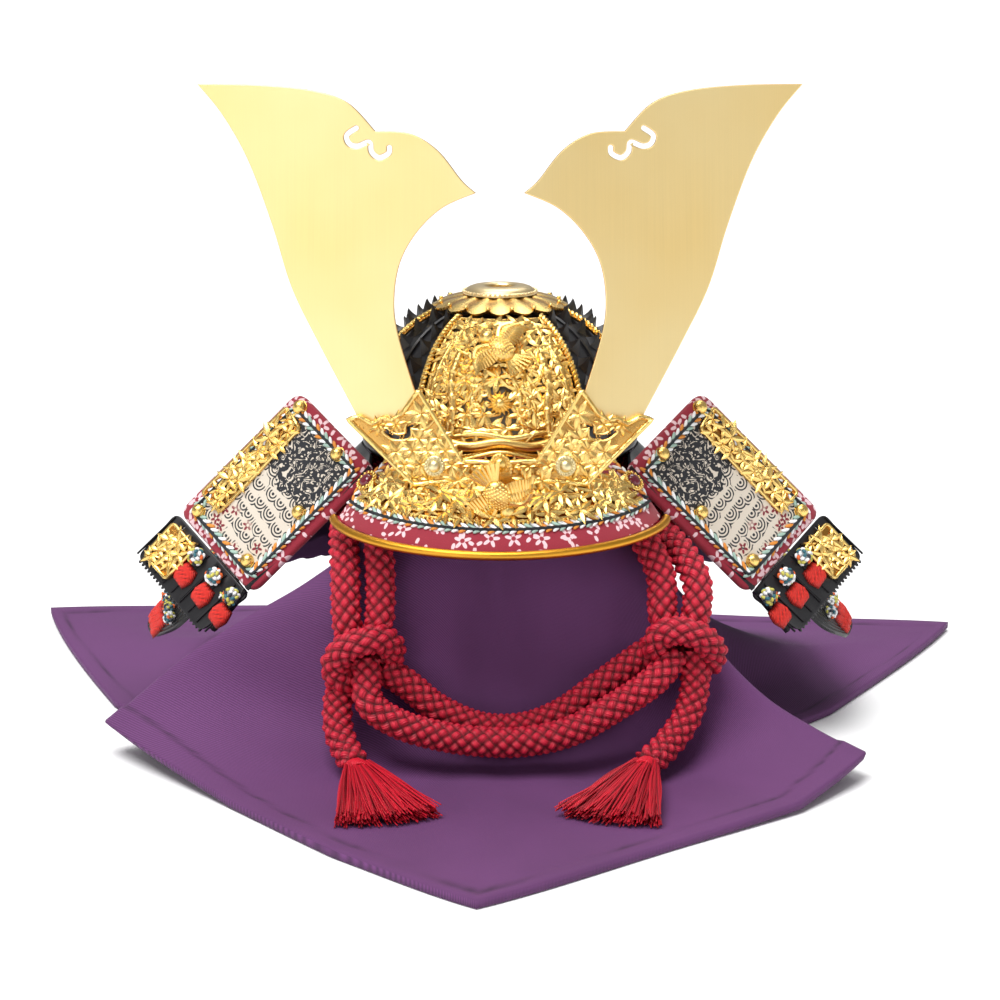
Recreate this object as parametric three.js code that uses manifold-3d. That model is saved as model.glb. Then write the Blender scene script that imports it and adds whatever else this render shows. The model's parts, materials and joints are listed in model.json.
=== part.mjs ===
// Miniature samurai helmet on a cloth-draped stand.
// Millimetres, +Z up, front towards -Y, origin in the middle of the stand's foot on the table.
import * as THREE from 'three';
import { mergeVertices } from 'three/addons/utils/BufferGeometryUtils.js';
import Module from 'manifold-3d';

const wasm = await Module();
wasm.setup();

// Clearance between pieces that touch
const GAP = 0.3;

// Stand and cloth
const FOOT_RADIUS = 40;
const FOOT_HEIGHT = 6;
const POST_RADIUS = 12;
const HEAD_RADIUS = 24;
const HEAD_ROUNDING = 48;
const HEAD_SKIRT = 12;
const CLOTH_THICKNESS = 1.6;
const CLOTH_REACH = 196;
const CLOTH_SHOULDER = 35;
const CLOTH_CHEST = 38;
const CLOTH_CHEST_HEIGHT = 91;

// Bowl
const RIM_HEIGHT = 100;
const BOWL_WIDTH = 92;
const BOWL_LENGTH = 100;
const BOWL_HEIGHT = 49;
const BOWL_WALL = 2;
const BOWL_FULLNESS = 2.5;
const RIB_COUNT = 20;
const RIB_WIDTH = 1;
const RIB_RISE = 1;
const STUD_RADIUS = 2.2;
const STUD_HEIGHT = 5;
const STRIP_RADIUS = 1.1;
const PLATE_THICKNESS = 1.2;
const PLATE_HALF_ANGLE = 33;
const FINIAL_RADIUS = 22.2;
const FINIAL_THICKNESS = 1.4;
const RING_RADIUS = 12.6;
const RING_BORE = 9;
const RING_HEIGHT = 2.8;

// Visor
const VISOR_THICKNESS = 1.8;
const VISOR_REACH = 30;
const VISOR_HALF_WIDTH = 53;
const VISOR_SIDE_DEPTH = 45;
const VISOR_DROP = 20;
const VISOR_BULGE = 2.5;
const VISOR_HALF_ANGLE = 45;
const VISOR_RIM_RADIUS = 1.5;
const BAND_THICKNESS = 0.9;
const ROSETTE_RADIUS = 4;

// Horns and their holder
const HORN_THICKNESS = 1;
const HORN_REACH = 101.6;
const HORN_RISE = 129.3;
const HORN_SLOT = 1.7;
const HOLDER_THICKNESS = 1.6;
const HOLDER_REACH = 51;
const HOLDER_RISE = 31.5;
const HOLDER_DROP = 2.7;
const HOLDER_STANDOFF = 13;
const HOLDER_SWEEP = 8;
const HOLDER_LEAN = 6;
const RIVET_RADIUS = 3.4;
const RIVET_HEIGHT = 2;
const RIVET_SEAT = 0.9;
const SPARROW_SIZE = 5;

// Neck guard and wings
const LAME_THICKNESS = 1.6;
const GUARD_FLARE = 78;
const GUARD_DROP = 72;
const LAME_SAG = 2;
const FOLD_INSET = 3;
const FOLD_BACK = 16;
const WING_FALL = [-42, 4, -43];
const WING_SPREAD = [-25.5, 24.5, 22];
const WING_THICKNESS = 1.8;
const ORNAMENT_THICKNESS = 1;
const WING_RIVET_RADIUS = 2.6;
const WING_RIVET_HEIGHT = 1.9;

// Chin cord
const CORD_DIAMETER = 9.6;
const CORD_SIDES = 8;
const KNOT_SIZE = 12;
const TASSEL_LENGTH = 46;
const TASSEL_HEIGHT = 6;

const DEG = Math.PI / 180;

// The holder's place follows the bowl's rim and front.
const HOLDER_BASE = RIM_HEIGHT - HOLDER_DROP;
const HOLDER_FRONT = BOWL_LENGTH / 2 + HOLDER_STANDOFF;

const FINISH = {
  gilt: { color: 0xf0c765, roughness: 0.32, metalness: 1 },
  horn: { color: 0xf6e2a2, roughness: 0.38, metalness: 1 },
  silver: { color: 0xe9dfc2, roughness: 0.3, metalness: 1 },
  lacquer: { color: 0x1d1b1e, roughness: 0.5, metalness: 0.1 },
  leather: { color: 0xa3213b, roughness: 0.7, metalness: 0 },
  garnet: { color: 0x8c1a3a, roughness: 0.15, metalness: 0 },
  cloth: { color: 0x5b3468, roughness: 0.9, metalness: 0 },
  wood: { color: 0xb48a5a, roughness: 0.7, metalness: 0 },
  cord: { color: 0xb01e33, roughness: 0.75, metalness: 0 },
};

const vec = (x, y, z) => new THREE.Vector3(x, y, z);
const lerp = THREE.MathUtils.lerp;

const group = new THREE.Group();

function material(finish) {
  return new THREE.MeshStandardMaterial(FINISH[finish]);
}

function add(name, geometry, finish) {
  const mesh = new THREE.Mesh(geometry, material(finish));
  mesh.name = name;
  group.add(mesh);
  return mesh;
}

// Shared vertices are merged and triangles that fold to a line are dropped.
function weld(geometry) {
  const bare = geometry.clone();
  bare.deleteAttribute('normal');
  bare.deleteAttribute('uv');
  const merged = mergeVertices(bare, 1e-3);
  const index = [];
  for (let i = 0; i < merged.index.count; i += 3) {
    const [a, b, c] = [0, 1, 2].map((k) => merged.index.getX(i + k));
    if (a !== b && b !== c && c !== a) {
      index.push(a, b, c);
    }
  }
  merged.setIndex(index);
  return merged;
}

function toSolid(geometry) {
  const welded = weld(geometry);
  const vertProperties = new Float32Array(welded.attributes.position.array);
  const triVerts = new Uint32Array(welded.index.array);
  return new wasm.Manifold(new wasm.Mesh({ numProp: 3, vertProperties, triVerts }));
}

function toGeometry(solid) {
  const { vertProperties, triVerts } = solid.getMesh();
  const geometry = new THREE.BufferGeometry();
  geometry.setAttribute('position', new THREE.BufferAttribute(new Float32Array(vertProperties), 3));
  geometry.setIndex([...triVerts]);
  return geometry;
}

function join(geometries) {
  return toGeometry(geometries.map(toSolid).reduce((whole, piece) => whole.add(piece)));
}

function cut(geometry, tools) {
  return toGeometry(tools.map(toSolid).reduce((whole, tool) => whole.subtract(tool), toSolid(geometry)));
}

function mirrored(geometry) {
  const copy = weld(geometry);
  copy.scale(-1, 1, 1);
  const index = copy.index.array;
  for (let i = 0; i < index.length; i += 3) {
    [index[i], index[i + 1]] = [index[i + 1], index[i]];
  }
  return copy;
}

function signedVolume(points, index) {
  let sum = 0;
  for (let i = 0; i < index.length; i += 3) {
    const [a, b, c] = [points[index[i]], points[index[i + 1]], points[index[i + 2]]];
    sum += a.dot(b.clone().cross(c));
  }
  return sum / 6;
}

// A wall between two grids of points, rows by columns; the columns may run right round.
function wall(face, back, round = false) {
  const rows = face.length;
  const columns = face[0].length;
  const points = [...face.flat(), ...back.flat()];
  const at = (side, r, c) => side * rows * columns + r * columns + (c % columns);
  const last = round ? columns : columns - 1;
  const index = [];
  const quad = (a, b, c, d) => index.push(a, b, c, a, c, d);
  for (let c = 0; c < last; c += 1) {
    for (let r = 0; r < rows - 1; r += 1) {
      quad(at(0, r, c), at(0, r, c + 1), at(0, r + 1, c + 1), at(0, r + 1, c));
      quad(at(1, r, c), at(1, r + 1, c), at(1, r + 1, c + 1), at(1, r, c + 1));
    }
    quad(at(0, 0, c), at(1, 0, c), at(1, 0, c + 1), at(0, 0, c + 1));
    quad(at(0, rows - 1, c), at(0, rows - 1, c + 1), at(1, rows - 1, c + 1), at(1, rows - 1, c));
  }
  if (!round) {
    for (let r = 0; r < rows - 1; r += 1) {
      quad(at(0, r, 0), at(0, r + 1, 0), at(1, r + 1, 0), at(1, r, 0));
      quad(at(0, r, last), at(1, r, last), at(1, r + 1, last), at(0, r + 1, last));
    }
  }
  if (signedVolume(points, index) < 0) {
    index.reverse();
  }
  const geometry = new THREE.BufferGeometry().setFromPoints(points);
  geometry.setIndex(index);
  return weld(geometry);
}

// Points moved off a grid along its normals.
function offset(grid, distance, round = false) {
  const rows = grid.length;
  const columns = grid[0].length;
  return grid.map((row, r) => row.map((point, c) => {
    const before = round ? row[(c + columns - 1) % columns] : row[Math.max(c - 1, 0)];
    const after = round ? row[(c + 1) % columns] : row[Math.min(c + 1, columns - 1)];
    const above = grid[Math.max(r - 1, 0)];
    const below = grid[Math.min(r + 1, rows - 1)];
    const across = after.clone().sub(before);
    const along = below[c].clone().sub(above[c]);
    if (across.length() < 1e-6) {
      return point.clone().add(vec(0, 0, distance));
    }
    return point.clone().addScaledVector(across.cross(along).normalize(), distance);
  }));
}

// A flat outline with its holes turned the other way round.
function pierced(outline, holes) {
  const shape = new THREE.Shape(THREE.ShapeUtils.isClockWise(outline) ? [...outline].reverse() : outline);
  shape.holes = holes.map((hole) => new THREE.Path(THREE.ShapeUtils.isClockWise(hole) ? hole : [...hole].reverse()));
  return shape;
}

// A straight plate cut from a flat outline, with its face on z = 0 of its own frame.
function slab(shape, thickness, frame, segments = 3) {
  const geometry = new THREE.ExtrudeGeometry(shape, { depth: thickness, bevelEnabled: false, curveSegments: segments });
  geometry.translate(0, 0, -thickness);
  geometry.applyMatrix4(frame);
  return weld(geometry);
}

function tube(points, radius, sides, steps, closed = false) {
  const section = new THREE.Shape();
  for (let i = 0; i < sides; i += 1) {
    const angle = (i / sides) * 2 * Math.PI;
    const place = [radius * Math.cos(angle), radius * Math.sin(angle)];
    if (i === 0) {
      section.moveTo(...place);
    } else {
      section.lineTo(...place);
    }
  }
  const curve = new THREE.CatmullRomCurve3(points, closed, 'centripetal');
  return weld(new THREE.ExtrudeGeometry(section, { steps, bevelEnabled: false, extrudePath: curve }));
}

function ellipsoid(centre, size, turn = new THREE.Euler(), across = 6, down = 4) {
  const geometry = new THREE.SphereGeometry(1, across, down);
  geometry.applyMatrix4(new THREE.Matrix4().compose(centre, new THREE.Quaternion().setFromEuler(turn), size));
  return weld(geometry);
}

// A dome head for a rivet, its flat side on the frame's plane.
function domeHead(radius, height, frame, sides = 10) {
  const profile = [[0, 0], [1, 0], [0.86, 0.5], [0.5, 0.87], [0, 1]];
  const points = profile.map(([r, h]) => new THREE.Vector2(r * radius, h * height));
  const geometry = new THREE.LatheGeometry(points, sides);
  geometry.rotateX(Math.PI / 2);
  geometry.applyMatrix4(frame);
  return weld(geometry);
}

// A raised leaf: a low four-sided point on the frame's plane, its base sunk a little.
function leaf(frame, x, y, angle, length, width, rise) {
  const geometry = new THREE.ConeGeometry(1, 1, 4);
  geometry.rotateX(Math.PI / 2);
  geometry.translate(0, 0, 0.2);
  geometry.scale(length / 2, width / 2, rise);
  geometry.rotateZ(angle * DEG);
  geometry.translate(x, y, 0);
  geometry.applyMatrix4(frame);
  return weld(geometry);
}

// A leaf-shaped gap, cut right through a plate.
function gapTool(frame, x, y, angle, length, width, depth) {
  const shape = new THREE.Shape();
  shape.moveTo(-length / 2, 0);
  shape.lineTo(0, -width / 2);
  shape.lineTo(length / 2, 0);
  shape.lineTo(0, width / 2);
  const geometry = new THREE.ExtrudeGeometry(shape, { depth: 2 * depth, bevelEnabled: false });
  geometry.translate(0, 0, -depth);
  geometry.rotateZ(angle * DEG);
  geometry.translate(x, y, 0);
  geometry.applyMatrix4(frame);
  return weld(geometry);
}

function frameFrom(origin, xAxis, yAxis) {
  const x = xAxis.clone().normalize();
  const z = x.clone().cross(yAxis).normalize();
  const y = z.clone().cross(x);
  return new THREE.Matrix4().makeBasis(x, y, z).setPosition(origin);
}

// Bowl surface

// A point of the bowl: angle round from the front, climb 0 at the rim to 1 at the crown.
function bowlPoint(angle, climb, lift = 0) {
  const power = 2 / BOWL_FULLNESS;
  const spread = Math.cos(climb * Math.PI / 2) ** power;
  const rise = Math.sin(climb * Math.PI / 2) ** power;
  return vec(
    (BOWL_WIDTH / 2 + lift) * spread * Math.sin(angle * DEG),
    -(BOWL_LENGTH / 2 + lift) * spread * Math.cos(angle * DEG),
    RIM_HEIGHT + (BOWL_HEIGHT + lift) * rise,
  );
}

function bowlFrame(angle, climb, lift) {
  const origin = bowlPoint(angle, climb, lift);
  const side = bowlPoint(angle + 1, climb, lift).sub(bowlPoint(angle - 1, climb, lift));
  const rise = bowlPoint(angle, climb + 0.01, lift).sub(bowlPoint(angle, climb - 0.01, lift));
  return frameFrom(origin, side, rise);
}

function domeSolid(lift, drop) {
  const columns = RIB_COUNT;
  const rows = 6;
  const top = [];
  const base = [];
  for (let r = 0; r <= rows; r += 1) {
    const climb = 1 - r / rows;
    top.push(Array.from({ length: columns }, (_, c) => bowlPoint((c / columns) * 360, climb, lift)));
  }
  top.push(top[rows].map((point) => vec(point.x, point.y, RIM_HEIGHT - drop)));
  top.forEach((row, r) => {
    const share = r / (top.length - 1);
    base.push(row.map((_, c) => {
      const edge = top[top.length - 1][c];
      return vec(edge.x * share, edge.y * share, RIM_HEIGHT - drop);
    }));
  });
  return wall(top, base, true);
}

const RIB_STEP = 360 / RIB_COUNT;
const STRIP_PLACES = [2, 4, 7];
const STUD_CLIMBS = [0.13, 0.27, 0.41, 0.55, 0.68];
const RIB_START = 0.06;
const RIB_END = 0.8;

function rib(angle) {
  const steps = 3;
  const half = (RIB_WIDTH / BOWL_WIDTH) * 2 / DEG / 2;
  const face = [];
  const back = [];
  for (let i = 0; i <= steps; i += 1) {
    const climb = lerp(RIB_START, RIB_END, i / steps);
    const spread = half / Math.max(0.35, Math.cos(climb * Math.PI / 2));
    face.push([bowlPoint(angle - spread, climb, RIB_RISE), bowlPoint(angle + spread, climb, RIB_RISE)]);
    back.push([bowlPoint(angle - spread, climb, -BOWL_WALL / 2), bowlPoint(angle + spread, climb, -BOWL_WALL / 2)]);
  }
  return wall(face, back);
}

function stud(angle, climb) {
  const geometry = new THREE.ConeGeometry(STUD_RADIUS, STUD_HEIGHT + BOWL_WALL / 2, 4);
  geometry.rotateX(Math.PI / 2);
  geometry.translate(0, 0, (STUD_HEIGHT - BOWL_WALL / 2) / 2);
  geometry.applyMatrix4(bowlFrame(angle, climb, 0));
  return weld(geometry);
}

function buildBowl() {
  const pieces = [cut(domeSolid(0, 0), [domeSolid(-BOWL_WALL, 1)])];
  for (let k = 0; k < RIB_COUNT; k += 1) {
    const place = Math.min(k, RIB_COUNT - k);
    const angle = k * RIB_STEP;
    if (place * RIB_STEP > PLATE_HALF_ANGLE + 4 && !STRIP_PLACES.includes(place)) {
      pieces.push(rib(angle));
    }
    const between = angle + RIB_STEP / 2;
    const fromFront = Math.min(between, 360 - between);
    if (fromFront > PLATE_HALF_ANGLE + RIB_STEP / 2) {
      STUD_CLIMBS.forEach((climb) => pieces.push(stud(between, climb)));
    }
  }
  add('bowl', join(pieces), 'lacquer');
}

function buildStrips() {
  const lift = RIB_RISE / 2 + STRIP_RADIUS + GAP;
  const end = climbAtRadius(FINIAL_RADIUS);
  let count = 0;
  STRIP_PLACES.forEach((place) => [-1, 1].forEach((side) => {
    const points = [0.1, 0.34, 0.61, 0.84, 1].map((share) => bowlPoint(side * place * RIB_STEP, share * end, lift));
    count += 1;
    add(`gold_strip_${count}`, tube(points, STRIP_RADIUS, 6, 7), 'gilt');
  }));
}

// Crown pieces

const FINIAL_LIFT = PLATE_THICKNESS + 2 * GAP;
const PETALS = 16;

function climbAtRadius(radius) {
  return Math.acos((radius / (BOWL_WIDTH / 2)) ** (BOWL_FULLNESS / 2)) / (Math.PI / 2);
}

function buildFinial() {
  const columns = PETALS * 2;
  const rows = 2;
  const grid = (lift) => Array.from({ length: rows + 1 }, (_, r) => Array.from({ length: columns }, (__, c) => {
    const lobe = c % 2 === 0 ? 1 : 0.9;
    const radius = FINIAL_RADIUS * (r / rows) * (r > rows / 2 ? lobe : 1);
    return bowlPoint((c / columns) * 360, climbAtRadius(radius), lift);
  }));
  add('finial_base', wall(grid(FINIAL_LIFT + FINIAL_THICKNESS), grid(FINIAL_LIFT), true), 'gilt');

  const seat = bowlPoint(0, climbAtRadius(RING_BORE), FINIAL_LIFT + FINIAL_THICKNESS + GAP).z;
  const profile = [
    [RING_BORE, 0], [RING_RADIUS, 0], [RING_RADIUS, 0.35], [lerp(RING_BORE, RING_RADIUS, 0.6), 0.5],
    [lerp(RING_BORE, RING_RADIUS, 0.6), 1], [RING_BORE, 1], [RING_BORE, 0],
  ];
  const ring = new THREE.LatheGeometry(profile.map(([r, h]) => new THREE.Vector2(r, h * RING_HEIGHT)), 24);
  ring.rotateX(Math.PI / 2);
  ring.translate(0, 0, seat);
  add('finial_ring', weld(ring), 'gilt');
}

// Leaf sprays and gaps of the front plate: angle round, climb, turn and length as shares of the plate.
const PLATE_START = 0.07;
const PLATE_END = 0.72;
const BOSS_SINK = 0.5;
const PLATE_LEAVES = [
  { round: -0.62, climb: 0.2, turn: 60, size: 0.9 }, { round: -0.3, climb: 0.16, turn: 20, size: 0.8 },
  { round: 0.3, climb: 0.16, turn: -20, size: 0.8 }, { round: 0.62, climb: 0.2, turn: -60, size: 0.9 },
  { round: -0.66, climb: 0.52, turn: 110, size: 1 }, { round: -0.4, climb: 0.66, turn: 60, size: 1 },
  { round: 0.66, climb: 0.52, turn: 70, size: 1 }, { round: 0.4, climb: 0.66, turn: 120, size: 1 },
  { round: -0.5, climb: 0.86, turn: 30, size: 0.9 }, { round: 0.5, climb: 0.86, turn: -30, size: 0.9 },
];
const PLATE_GAPS = [
  { round: -0.45, climb: 0.36, turn: 40, size: 0.8 }, { round: 0.45, climb: 0.36, turn: -40, size: 0.8 },
  { round: -0.75, climb: 0.36, turn: 80, size: 0.7 }, { round: 0.75, climb: 0.36, turn: -80, size: 0.7 },
  { round: -0.72, climb: 0.74, turn: 70, size: 0.8 }, { round: 0.72, climb: 0.74, turn: -70, size: 0.8 },
  { round: -0.28, climb: 0.8, turn: 80, size: 0.6 }, { round: 0.28, climb: 0.8, turn: -80, size: 0.6 },
];

function buildFrontPlate() {
  const columns = 8;
  const rows = 6;
  const place = (row) => ({
    round: row.round * PLATE_HALF_ANGLE,
    climb: lerp(PLATE_START, PLATE_END, row.climb),
  });
  const grid = (lift) => Array.from({ length: rows + 1 }, (_, r) => Array.from({ length: columns + 1 }, (__, c) => (
    bowlPoint(lerp(-PLATE_HALF_ANGLE, PLATE_HALF_ANGLE, c / columns), lerp(PLATE_START, PLATE_END, r / rows), lift)
  )));
  const spray = PLATE_HALF_ANGLE * DEG * BOWL_LENGTH / 2 * 0.3;
  const face = GAP + PLATE_THICKNESS;
  const plate = cut(wall(grid(face), grid(GAP)), PLATE_GAPS.map((row) => {
    const { round, climb } = place(row);
    return gapTool(bowlFrame(round, climb, GAP), 0, 0, row.turn, spray * row.size, spray * 0.3, 2 * face);
  }));
  const leaves = PLATE_LEAVES.map((row) => {
    const { round, climb } = place(row);
    return leaf(bowlFrame(round, climb, face), 0, 0, row.turn, spray * row.size, spray * 0.35, PLATE_THICKNESS);
  });
  const boss = domeHead(spray * 0.36, PLATE_THICKNESS * 1.6, bowlFrame(0, lerp(PLATE_START, PLATE_END, 0.26), face - BOSS_SINK));
  const bird = [
    leaf(bowlFrame(0, lerp(PLATE_START, PLATE_END, 0.62), face), 0, 0, 95, spray * 1.2, spray * 0.5, PLATE_THICKNESS * 1.6),
    leaf(bowlFrame(0, lerp(PLATE_START, PLATE_END, 0.62), face), 0, 0, 10, spray * 1.7, spray * 0.35, PLATE_THICKNESS),
  ];
  add('front_plate', join([plate, ...leaves, ...bird, boss]), 'gilt');
}

// Visor

const VISOR_LIFT = GAP + VISOR_THICKNESS;
const BROW_RISE = 3;

// A point of the visor's upper face: side -1 to 1 across, out 0 at the brow to 1 at the edge.
function visorPoint(side, out) {
  const brow = side * VISOR_HALF_ANGLE * DEG;
  const edge = side * Math.PI / 2;
  const inner = vec(
    (BOWL_WIDTH / 2 + VISOR_LIFT) * Math.sin(brow),
    -(BOWL_LENGTH / 2 + VISOR_LIFT) * Math.cos(brow),
    RIM_HEIGHT + BROW_RISE,
  );
  const reach = BOWL_LENGTH / 2 + VISOR_REACH - VISOR_SIDE_DEPTH;
  const outer = vec(
    VISOR_HALF_WIDTH * Math.sin(edge),
    -VISOR_SIDE_DEPTH - reach * Math.cos(edge) ** 1.3,
    RIM_HEIGHT - VISOR_DROP + 4.5 * (1 - Math.cos(edge)),
  );
  const point = inner.lerp(outer, out);
  point.z += VISOR_BULGE * Math.sin(Math.PI * out);
  return point;
}

function visorGrid(columns, rows, from, to, reach = 1) {
  return Array.from({ length: rows + 1 }, (_, r) => Array.from({ length: columns + 1 }, (__, c) => (
    visorPoint(reach * lerp(-1, 1, c / columns), lerp(from, to, r / rows))
  )));
}

const BAND_START = 0.42;
const BAND_END = 0.68;
const BAND_REACH = 0.78;
const BAND_GAPS = 8;

function buildVisor() {
  const face = visorGrid(16, 4, 0, 1);
  add('visor', wall(face, offset(face, VISOR_THICKNESS)), 'leather');

  const rimPath = Array.from({ length: 13 }, (_, i) => {
    const side = lerp(-1, 1, i / 12);
    const edge = visorPoint(side, 1);
    const outward = visorPoint(side, 1).sub(visorPoint(side, 0.9)).setZ(0).normalize();
    return edge.addScaledVector(outward, VISOR_RIM_RADIUS + 2 * GAP).setZ(edge.z - VISOR_THICKNESS / 2);
  });
  add('visor_rim', tube(rimPath, VISOR_RIM_RADIUS, 6, 24), 'gilt');

  const low = offset(visorGrid(12, 2, BAND_START, BAND_END, BAND_REACH), -GAP);
  const high = offset(visorGrid(12, 2, BAND_START, BAND_END, BAND_REACH), -GAP - BAND_THICKNESS);
  const tools = [];
  const leaves = [];
  for (let k = 0; k < BAND_GAPS; k += 1) {
    const side = BAND_REACH * lerp(-0.9, 0.9, (k + 0.5) / BAND_GAPS);
    const centre = visorPoint(side, lerp(BAND_START, BAND_END, 0.5));
    const across = visorPoint(side + 0.02, BAND_END).sub(visorPoint(side - 0.02, BAND_END));
    const along = visorPoint(side, BAND_START).sub(visorPoint(side, BAND_END));
    const frame = frameFrom(centre, across, along);
    tools.push(gapTool(frame, 0, 0, k % 2 ? 35 : -35, 5.5, 1.3, 4));
    const lift = new THREE.Matrix4().makeTranslation(0, 0, GAP + BAND_THICKNESS);
    leaves.push(leaf(frame.clone().multiply(lift), 3.6, 0, k % 2 ? 40 : -40, 6.5, 2, BAND_THICKNESS));
  }
  add('visor_ornament', join([cut(wall(high, low), tools), ...leaves]), 'gilt');

  [-1, 1].forEach((sign) => {
    const side = 0.93 * sign;
    const across = visorPoint(side, 0.55).sub(visorPoint(side - 0.05, 0.55));
    const along = visorPoint(side, 0.5).sub(visorPoint(side, 0.6));
    const frame = frameFrom(visorPoint(side, 0.55), across, along);
    const lift = new THREE.Matrix4().makeTranslation(0, 0, 2 * GAP);
    const rosette = domeHead(ROSETTE_RADIUS, ROSETTE_RADIUS * 0.6, frame.multiply(lift), 12);
    add(sign < 0 ? 'rosette_left' : 'rosette_right', rosette, 'garnet');
  });
}

// Horns and holder, drawn for the left side in a frame that leans and sweeps back and faces forward

function hornFrame(depth) {
  const inward = vec(Math.cos(HOLDER_SWEEP * DEG), -Math.sin(HOLDER_SWEEP * DEG), 0);
  const up = vec(0, Math.sin(HOLDER_LEAN * DEG), Math.cos(HOLDER_LEAN * DEG));
  const origin = vec(0, -HOLDER_FRONT, HOLDER_BASE);
  const frame = frameFrom(origin, inward, up);
  return frame.multiply(new THREE.Matrix4().makeTranslation(0, 0, depth));
}

// Each stretch of the horn's outline: shares of the horn's reach and rise.
const HORN_STRETCHES = [
  [[1, 0.998], [0.8, 0.997], [0.625, 0.985], [0.509, 0.955], [0.42, 0.886]],
  [[0.42, 0.886], [0.309, 0.881], [0.218, 0.84], [0.14, 0.767], [0.094, 0.736]],
  [[0.094, 0.736], [0.2, 0.698], [0.282, 0.636], [0.336, 0.558], [0.353, 0.463], [0.337, 0.374], [0.277, 0.226]],
  [[0.277, 0.226], [0.476, 0.18]],
  [[0.476, 0.18], [0.601, 0.358], [0.688, 0.493], [0.752, 0.647], [0.831, 0.806], [0.916, 0.92], [1, 0.998]],
];
const HORN_SCROLL = [
  [0.481, 0.893], [0.512, 0.875], [0.504, 0.854], [0.477, 0.848],
  [0.439, 0.858], [0.431, 0.834], [0.407, 0.82], [0.377, 0.831], [0.374, 0.846],
];

function strokeOutline(points, width) {
  const curve = new THREE.SplineCurve(points);
  const steps = 8;
  const sides = [[], []];
  for (let i = 0; i <= steps; i += 1) {
    const point = curve.getPoint(i / steps);
    const tangent = curve.getTangent(i / steps);
    const normal = new THREE.Vector2(-tangent.y, tangent.x).multiplyScalar(width / 2);
    sides[0].push(point.clone().add(normal));
    sides[1].unshift(point.clone().sub(normal));
  }
  return [...sides[0], ...sides[1]];
}

function hornShape() {
  const place = ([out, up]) => new THREE.Vector2(-out * HORN_REACH, up * HORN_RISE);
  const outline = HORN_STRETCHES.flatMap((stretch) => {
    const points = new THREE.SplineCurve(stretch.map(place)).getPoints(2 * (stretch.length - 1));
    return points.slice(0, -1);
  });
  const scroll = HORN_SCROLL.map(place);
  return pierced(outline, [strokeOutline(scroll, HORN_SLOT)]);
}

function buildHorns() {
  const horn = slab(hornShape(), HORN_THICKNESS, hornFrame(-HOLDER_THICKNESS - GAP));
  add('horn_left', horn, 'horn');
  add('horn_right', mirrored(horn), 'horn');
}

// Holder outline and its pierced scroll: shares of the holder's reach and rise.
const HOLDER_OUTLINE = [
  [1, 0.676], [0.925, 0.71], [0.835, 0.63], [0.77, 0.7], [0.71, 0.676], [0.643, 0.746], [0.59, 0.87],
  [0.535, 1], [0.237, 0.26], [0.05, 0.26], [0.05, 0.1], [0.557, 0], [0.78, 0.34],
];
const HOLDER_SCROLL = [
  [0.44, 0.72], [0.5, 0.62], [0.59, 0.62], [0.6, 0.52], [0.68, 0.5], [0.74, 0.56],
];
const HOLDER_LEAVES = [
  { out: 0.9, up: 0.6, turn: 150, size: 0.2 }, { out: 0.78, up: 0.48, turn: 40, size: 0.22 },
  { out: 0.66, up: 0.34, turn: 165, size: 0.24 },
  { out: 0.44, up: 0.4, turn: 110, size: 0.24 }, { out: 0.52, up: 0.8, turn: 70, size: 0.22 },
  { out: 0.34, up: 0.12, turn: 160, size: 0.22 }, { out: 0.22, up: 0.14, turn: 20, size: 0.2 },
];
const HOLDER_GAPS = [
  { out: 0.72, up: 0.42, turn: 100 }, { out: 0.5, up: 0.5, turn: 60 }, { out: 0.6, up: 0.14, turn: 30 },
  { out: 0.4, up: 0.28, turn: 130 },
];
const RIVET_PLACES = { left: [-21.5, 0.21], middle: [0, 0.26], right: [21.5, 0.21] };

function holderSide() {
  const place = ([out, up]) => new THREE.Vector2(-out * HOLDER_REACH, up * HOLDER_RISE);
  const shape = pierced(HOLDER_OUTLINE.map(place), [strokeOutline(HOLDER_SCROLL.map(place), HORN_SLOT)]);
  const plate = slab(shape, HOLDER_THICKNESS, hornFrame(0));
  const tools = HOLDER_GAPS.map((row) => gapTool(
    hornFrame(0), -row.out * HOLDER_REACH, row.up * HOLDER_RISE, -row.turn, 4, 1.4, 3 * HOLDER_THICKNESS,
  ));
  const leaves = HOLDER_LEAVES.map((row) => leaf(
    hornFrame(0), -row.out * HOLDER_REACH, row.up * HOLDER_RISE, -row.turn, row.size * HOLDER_REACH, 2.6, 1.1,
  ));
  return join([cut(plate, tools), ...leaves]);
}

function box(x, y, z) {
  const geometry = new THREE.BoxGeometry(x[1] - x[0], y[1] - y[0], z[1] - z[0]);
  geometry.translate((x[0] + x[1]) / 2, (y[0] + y[1]) / 2, (z[0] + z[1]) / 2);
  return weld(geometry);
}

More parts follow.
